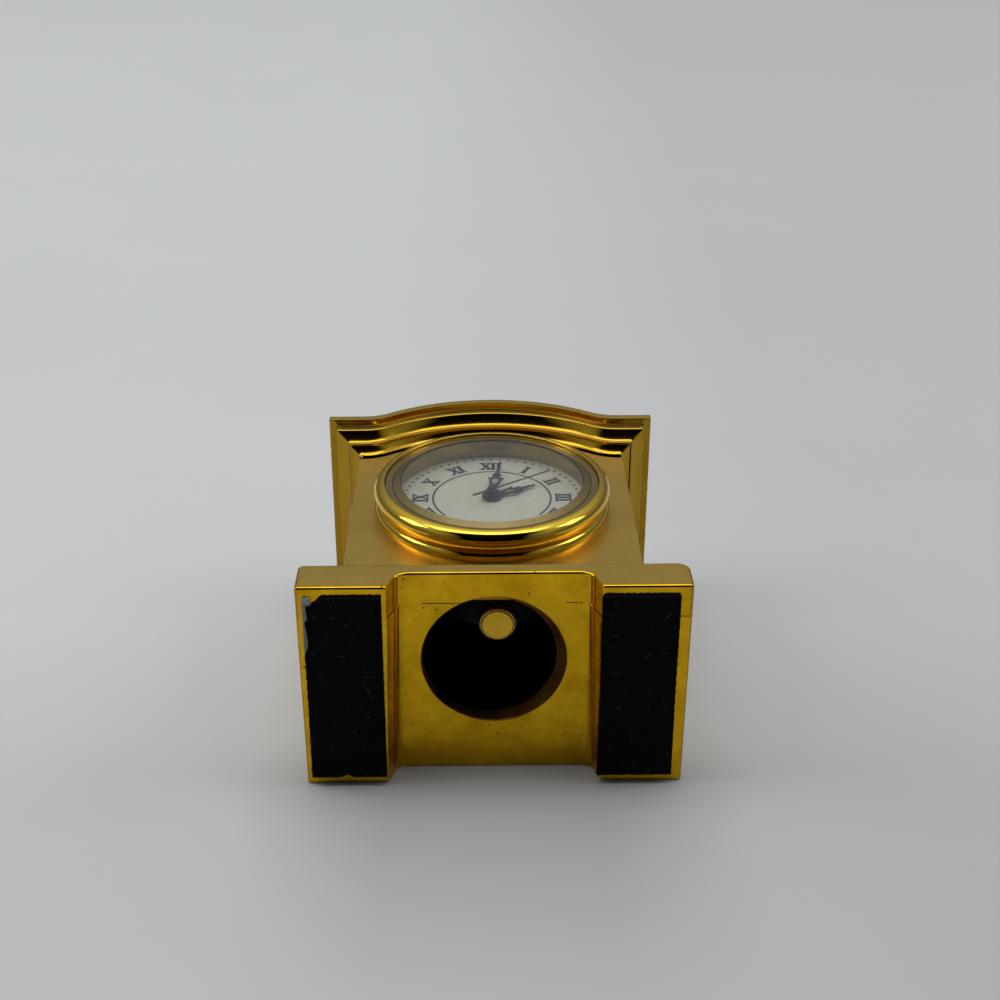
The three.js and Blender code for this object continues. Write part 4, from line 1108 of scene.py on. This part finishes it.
def felt_edge(low, high, nicks):
    """A rectangle with an uneven edge; each nick is (x, y, radius, depth toward the middle)."""
    corners_xy = [(low[0], low[1]), (high[0], low[1]), (high[0], high[1]), (low[0], high[1])]
    middle = Vector(((low[0] + high[0]) / 2, (low[1] + high[1]) / 2))
    points = []
    for (ax, ay), (bx, by) in zip(corners_xy, corners_xy[1:] + corners_xy[:1]):
        steps = max(2, int(math.hypot(bx - ax, by - ay) / edge_step))
        for i in range(steps):
            place = Vector((ax + (bx - ax) * i / steps, ay + (by - ay) * i / steps))
            inward = (middle - place).normalized()
            drift = edge_drift * (1 + math.sin(place.x * 9000 + place.y * 5200))
            place += inward * (drift + chance_of.uniform(0.0, edge_ragged))
            for x, y, radius, depth in nicks:
                near = (place - Vector((x, y))).length
                if near < radius:
                    place += inward * depth * (1 - (near / radius) ** 2)
            points.append((place.x, place.y))
    return points


pad_boxes = {name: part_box(name) for name in ("felt_pad_left", "felt_pad_right")}
left_low, left_high = pad_boxes["felt_pad_left"]
torn = [(left_low[0], left_low[1] + 0.5 * mm, 2.0 * mm, 1.15 * mm),
        (left_low[0], left_low[1] + 4.3 * mm, 2.6 * mm, 0.85 * mm),
        (left_low[0] + 3.9 * mm, left_high[1], 0.7 * mm, 0.3 * mm)]
nap = 0.045 * mm
for node_name, (low, high) in pad_boxes.items():
    edge = felt_edge(low, high, torn if node_name.endswith("left") else [])
    pad = prism(node_name.replace("felt_", "black_"), [(x, y, pad_thick) for x, y in edge],
                (0, 0, nap - pad_thick))
    soften(pad, 0.1 * mm, 2, 60)
    shade(pad, 70)
    hand_over(pad, "case", felt_black, [node_name])

# %% Loose fibres
def fibre(name, start, heading, length, lift, thick_of):
    """One bent fibre: a thin three-sided tube from a point, along a heading."""
    deselect_all()
    bpy.ops.mesh.primitive_cylinder_add(vertices=3, radius=thick_of, depth=length,
                                        end_fill_type="NGON")
    made = bpy.context.object
    edit(made)
    for share in (-0.25, 0.0, 0.25):
        bpy.ops.mesh.select_all(action="SELECT")
        bpy.ops.mesh.bisect(plane_co=(0, 0, share * length), plane_no=(0, 0, 1))
    bpy.ops.object.mode_set(mode="OBJECT")
    for vertex in made.data.vertices:
        along = vertex.co.z / length + 0.5
        taper = 1 - 0.5 * along
        side, rise = vertex.co.x * taper, vertex.co.y * taper
        bend = math.sin(along * 2.6) * length * 0.16
        direction = Vector((math.cos(heading), math.sin(heading)))
        across_way = Vector((-direction.y, direction.x))
        flat = Vector(start[:2]) + direction * along * length + across_way * (side + bend)
        vertex.co = (flat.x, flat.y, max(0.0, start[2] + rise + lift * math.sin(along * 3.0)))
    made.name = name
    return made


fuzz_count, lint_count = 110, 34
fuzz_inset = 0.1 * mm
lint_inset = 0.6 * mm
full_turn = 6.28
for node_name, (low, high) in pad_boxes.items():
    fuzz, lint_bits = [], []
    for _ in range(fuzz_count):
        share = chance_of.random()
        side_of = chance_of.choice("lrfb")
        x, y = (start + share * (end - start) for start, end in zip(low[:2], high[:2]))
        x = {"l": low[0] + fuzz_inset, "r": high[0] - fuzz_inset}.get(side_of, x)
        y = {"f": low[1] + fuzz_inset, "b": high[1] - fuzz_inset}.get(side_of, y)
        place = (x, y, chance_of.uniform(0.05, 0.4) * mm)
        fuzz.append(fibre("fuzz", place, chance_of.uniform(0, full_turn),
                          chance_of.uniform(0.2, 0.5) * mm, 0.03 * mm, 0.014 * mm))
    for _ in range(lint_count):
        x = chance_of.uniform(low[0] + lint_inset, high[0] - lint_inset)
        y = chance_of.uniform(low[1] + lint_inset, high[1] - lint_inset)
        lint_bits.append(fibre("lint", (x, y, 0.026 * mm), chance_of.uniform(0, full_turn),
                               chance_of.uniform(0.25, 1.1) * mm, 0.0,
                               chance_of.uniform(0.010, 0.022) * mm))
    side_name = node_name.split("_")[-1]
    hand_over(join_all(fuzz, "felt_fuzz_" + side_name), "case", felt_black)
    hand_over(join_all(lint_bits, "felt_lint_" + side_name), "case", lint_grey)

# %% Strip of old glue at the left pad
glue_points = []
glue_steps = 24
glue_length = 7.2 * mm
for i in range(glue_steps + 1):
    y = left_low[1] + 0.1 * mm + i / glue_steps * glue_length
    glue_points.append((left_low[0] - 0.05 * mm + chance_of.uniform(0, 0.10 * mm), y))
for i in range(glue_steps + 1):
    y = left_low[1] + 0.1 * mm + (1 - i / glue_steps) * glue_length
    glue_points.append((left_low[0] + 0.95 * mm + chance_of.uniform(-0.1, 0.1) * mm, y))
glue = prism("old_glue", [(x, y, pad_thick) for x, y in glue_points], (0, 0, -0.22 * mm))
shade(glue, 50)
hand_over(glue, "case", glue_grey)

# %% Finishes of the nodes that stay as they are
finishes = {
    "satin_gold": satin_gold, "polished_gold": bright_gold, "felt": felt_black,
    "clear_glass": clear_glass, "dial_white": dial_white, "nickel": nickel,
    "black_plastic": black_plastic, "white_plastic": white_plastic,
    "movement_brass": movement_brass, "steel": steel, "enamelled_copper": copper,
    "board_green": board_green, "black_lacquer": hand_black,
}
slot_of = {part["node"]: part["material_slot"] for part in frame["record"]["subparts"]}
for name, piece in frame["nodes"].items():
    finish = {"rehaut_ring": rehaut_gold, "can_lid": dark_nickel}.get(name, finishes[slot_of[name]])
    piece.data.materials.clear()
    piece.data.materials.append(finish)
print("nodes finished:", len(frame["nodes"]))

# %% [markdown]
# ## Table, floor and light
#
# The table of the photograph touches the clock's back. Seen from behind it would hide the clock, so
# its back side is clear. Its tone carries painted light and shade: a little darker toward the front
# and the right (painted shade), a little lighter far off (painted light), and a soft painted shadow
# in front of the plinth. A second floor under the feet is there for views of the standing clock.

# %% Table behind the clock
# Depth and extent of the painted shadow in front of the plinth.
painted_shadow_depth = 0.24
painted_shadow_sides = (0.028, 0.012)
painted_shadow_front = (-0.040, -0.008)
painted_shadow_back = (0.012, 0.0)
paper_white = (0.86, 0.86, 0.86)


def stage_with_painted_shade(name, colour, for_camera_only):
    """A matte surface: painted shade on the right and near the camera, painted light far off."""
    made, tree, shader = new_material(name)
    mottle = noise(tree, place_on_object(tree), 30.0, 3.0)
    cloud = remap(tree, mottle, 0, 1)
    tone = blend_colours(tree, cloud, colour, tuple(part * 0.985 for part in colour))
    place = object_xyz(tree)
    # Painted light and shade: lighter far off, darker on the right, darker from the plinth's foot
    # toward the camera.
    painted_light_slopes = (("Z", 1.30, 0.15, 0.9), ("X", 0.87, -0.02, 0.05), ("Z", 0.88, 0.035, -0.005))
    for axis, share, start, end in painted_light_slopes:
        painted_light_weight = remap(tree, place[axis], 0.0, 1.0, start, end)
        painted_light_tone = tree.nodes.new("ShaderNodeVectorMath")
        painted_light_tone.operation = "SCALE"
        painted_light_tone.inputs["Scale"].default_value = share
        tree.links.new(tone, painted_light_tone.inputs[0])
        tone = blend_colours(tree, painted_light_weight, tone, painted_light_tone.outputs[0])
    # Painted shadow: a soft dark patch on the table just in front of the plinth's foot.
    across = math_step(tree, "ABSOLUTE", place["X"])
    between = remap(tree, across, 0.0, painted_shadow_depth, *painted_shadow_sides)
    for start, end in (painted_shadow_front, painted_shadow_back):
        along = remap(tree, place["Z"], 0.0, 1.0, start, end)
        between = math_step(tree, "MULTIPLY", between, along)
    tone = blend_colours(tree, between, tone, (0.0, 0.0, 0.0))
    tree.links.new(tone, shader.inputs["Base Color"])
    shader.inputs["Roughness"].default_value = 0.9
    shader.inputs["Specular IOR Level"].default_value = 0.1
    clear = tree.nodes.new("ShaderNodeBsdfTransparent")
    facing = tree.nodes.new("ShaderNodeNewGeometry")
    hide = facing.outputs["Backfacing"]
    if for_camera_only:
        path = tree.nodes.new("ShaderNodeLightPath")
        unseen = math_step(tree, "SUBTRACT", 1.0, path.outputs["Is Camera Ray"])
        hide = math_step(tree, "MAXIMUM", unseen, hide)
    mixed(tree, hide, shader, clear)
    return made


table_reach = 1.5
table_y = back_y + 0.03 * mm
inset = 1.2 * mm
plinth_x = plinth_half - side_draft - inset
body_x = body_half - inset
back_right = [(plinth_x, foot_z + inset), (plinth_x, plinth_top_z - inset),
              (body_x, plinth_top_z - inset), (body_x, body_top_z + inset),
              (body_half + 3.95 * mm - inset, shoulder_z - 2.4 * mm + inset)]
back_right += [(x * mm, shoulder_z - inset + arch_height(x * mm))
               for x in (19.4, 17, 15, 12, 9, 6, 3, 0)]
channel_x = 10.5 * mm
channel_z = foot_z + 2.95 * mm + inset
table_half = [(0, channel_z), (channel_x, channel_z), (channel_x + inset * 1.6, foot_z + inset)]
table_half += back_right + [(0, table_reach), (table_reach, table_reach),
                            (table_reach, -table_reach), (0, -table_reach)]
sides = [outline("table", [(hand * x, table_y, z) for x, z in table_half]) for hand in (1, -1)]
table = close_up(join_all(sides, "table"))
if table.data.polygons[0].normal.y > 0:
    edit(table)
    bpy.ops.mesh.flip_normals()
    bpy.ops.object.mode_set(mode="OBJECT")
table.data.materials.append(stage_with_painted_shade("table_top", (0.735, 0.745, 0.735), False))
deselect_all()
bpy.ops.mesh.primitive_plane_add(size=2 * table_reach, location=(0, 0, 0))
ground = settle(bpy.context.object)
ground.name = "floor"
ground.data.materials.append(stage_with_painted_shade("floor_top", paper_white, True))
print("table normal:", [round(v, 2) for v in table.data.polygons[0].normal])

# %% World and lamps
world = bpy.data.worlds.new("studio")
bpy.context.scene.world = world
world.use_nodes = True
sky = world.node_tree
sky.nodes.clear()
sky.nodes.new("ShaderNodeOutputWorld")
glow = sky.nodes.new("ShaderNodeBackground")
where = sky.nodes.new("ShaderNodeTexCoord")
split = sky.nodes.new("ShaderNodeSeparateXYZ")
sky.links.new(where.outputs["Generated"], split.inputs[0])


def sky_math(operation, first, second=0.0):
    return math_step(sky, operation, first, second)


sky_floor, sky_gain, sky_power = 0.155, 1.05, 2.6
above = sky_math("MAXIMUM", sky_math("MULTIPLY", split.outputs["Y"], -1.0), 0.0)
level = sky_math("MULTIPLY", sky_math("POWER", above, sky_power), sky_gain)
level = sky_math("ADD", level, sky_floor)
shade_side = remap(sky, split.outputs["Z"], 0.005, 1.0, -0.18, -0.08)
aside = remap(sky, sky_math("ABSOLUTE", split.outputs["X"]), 0.0, 0.85, 0.42, 0.72)
shade_side = sky_math("MAXIMUM", shade_side, aside)
behind = remap(sky, split.outputs["Y"], 0.0, 0.42, -0.02, 0.30)
strength = sky_math("ADD", sky_math("MULTIPLY", level, shade_side), behind)
cool, neutral = (0.92, 1.0, 1.16), (1.0, 1.0, 1.0)
sky_tint = blend_colours(sky, remap(sky, above, 0.0, 1.0, 0.35, 0.95), cool, neutral)
feed(sky, glow, {"Strength": strength, "Color": sky_tint})
seen = sky.nodes.new("ShaderNodeBackground")
seen.inputs["Color"].default_value = (*paper_white, 1)
path = sky.nodes.new("ShaderNodeLightPath")
mixed(sky, path.outputs["Is Camera Ray"], glow, seen, "OUTPUT_WORLD")


lamp_target = Vector((0, 0, 0.02))


def lamp(name, place, size, power):
    """A rectangular lamp that looks at the foot of the clock."""
    data = bpy.data.lights.new(name, "AREA")
    data.shape = "RECTANGLE"
    data.size, data.size_y = size
    data.energy = power
    made = bpy.data.objects.new(name, data)
    bpy.context.scene.collection.objects.link(made)
    made.location = place
    made.rotation_euler = (lamp_target - made.location).to_track_quat("-Z", "Y").to_euler()


lamp("overhead", (-0.05, -0.85, 0.075), (0.9, 0.34), 1.7)
lamp("right_window", (0.62, -0.50, 0.06), (0.30, 0.28), 0.75)
lamp("left_window", (-0.62, -0.50, 0.06), (0.30, 0.28), 1.0)
print("lamps placed")
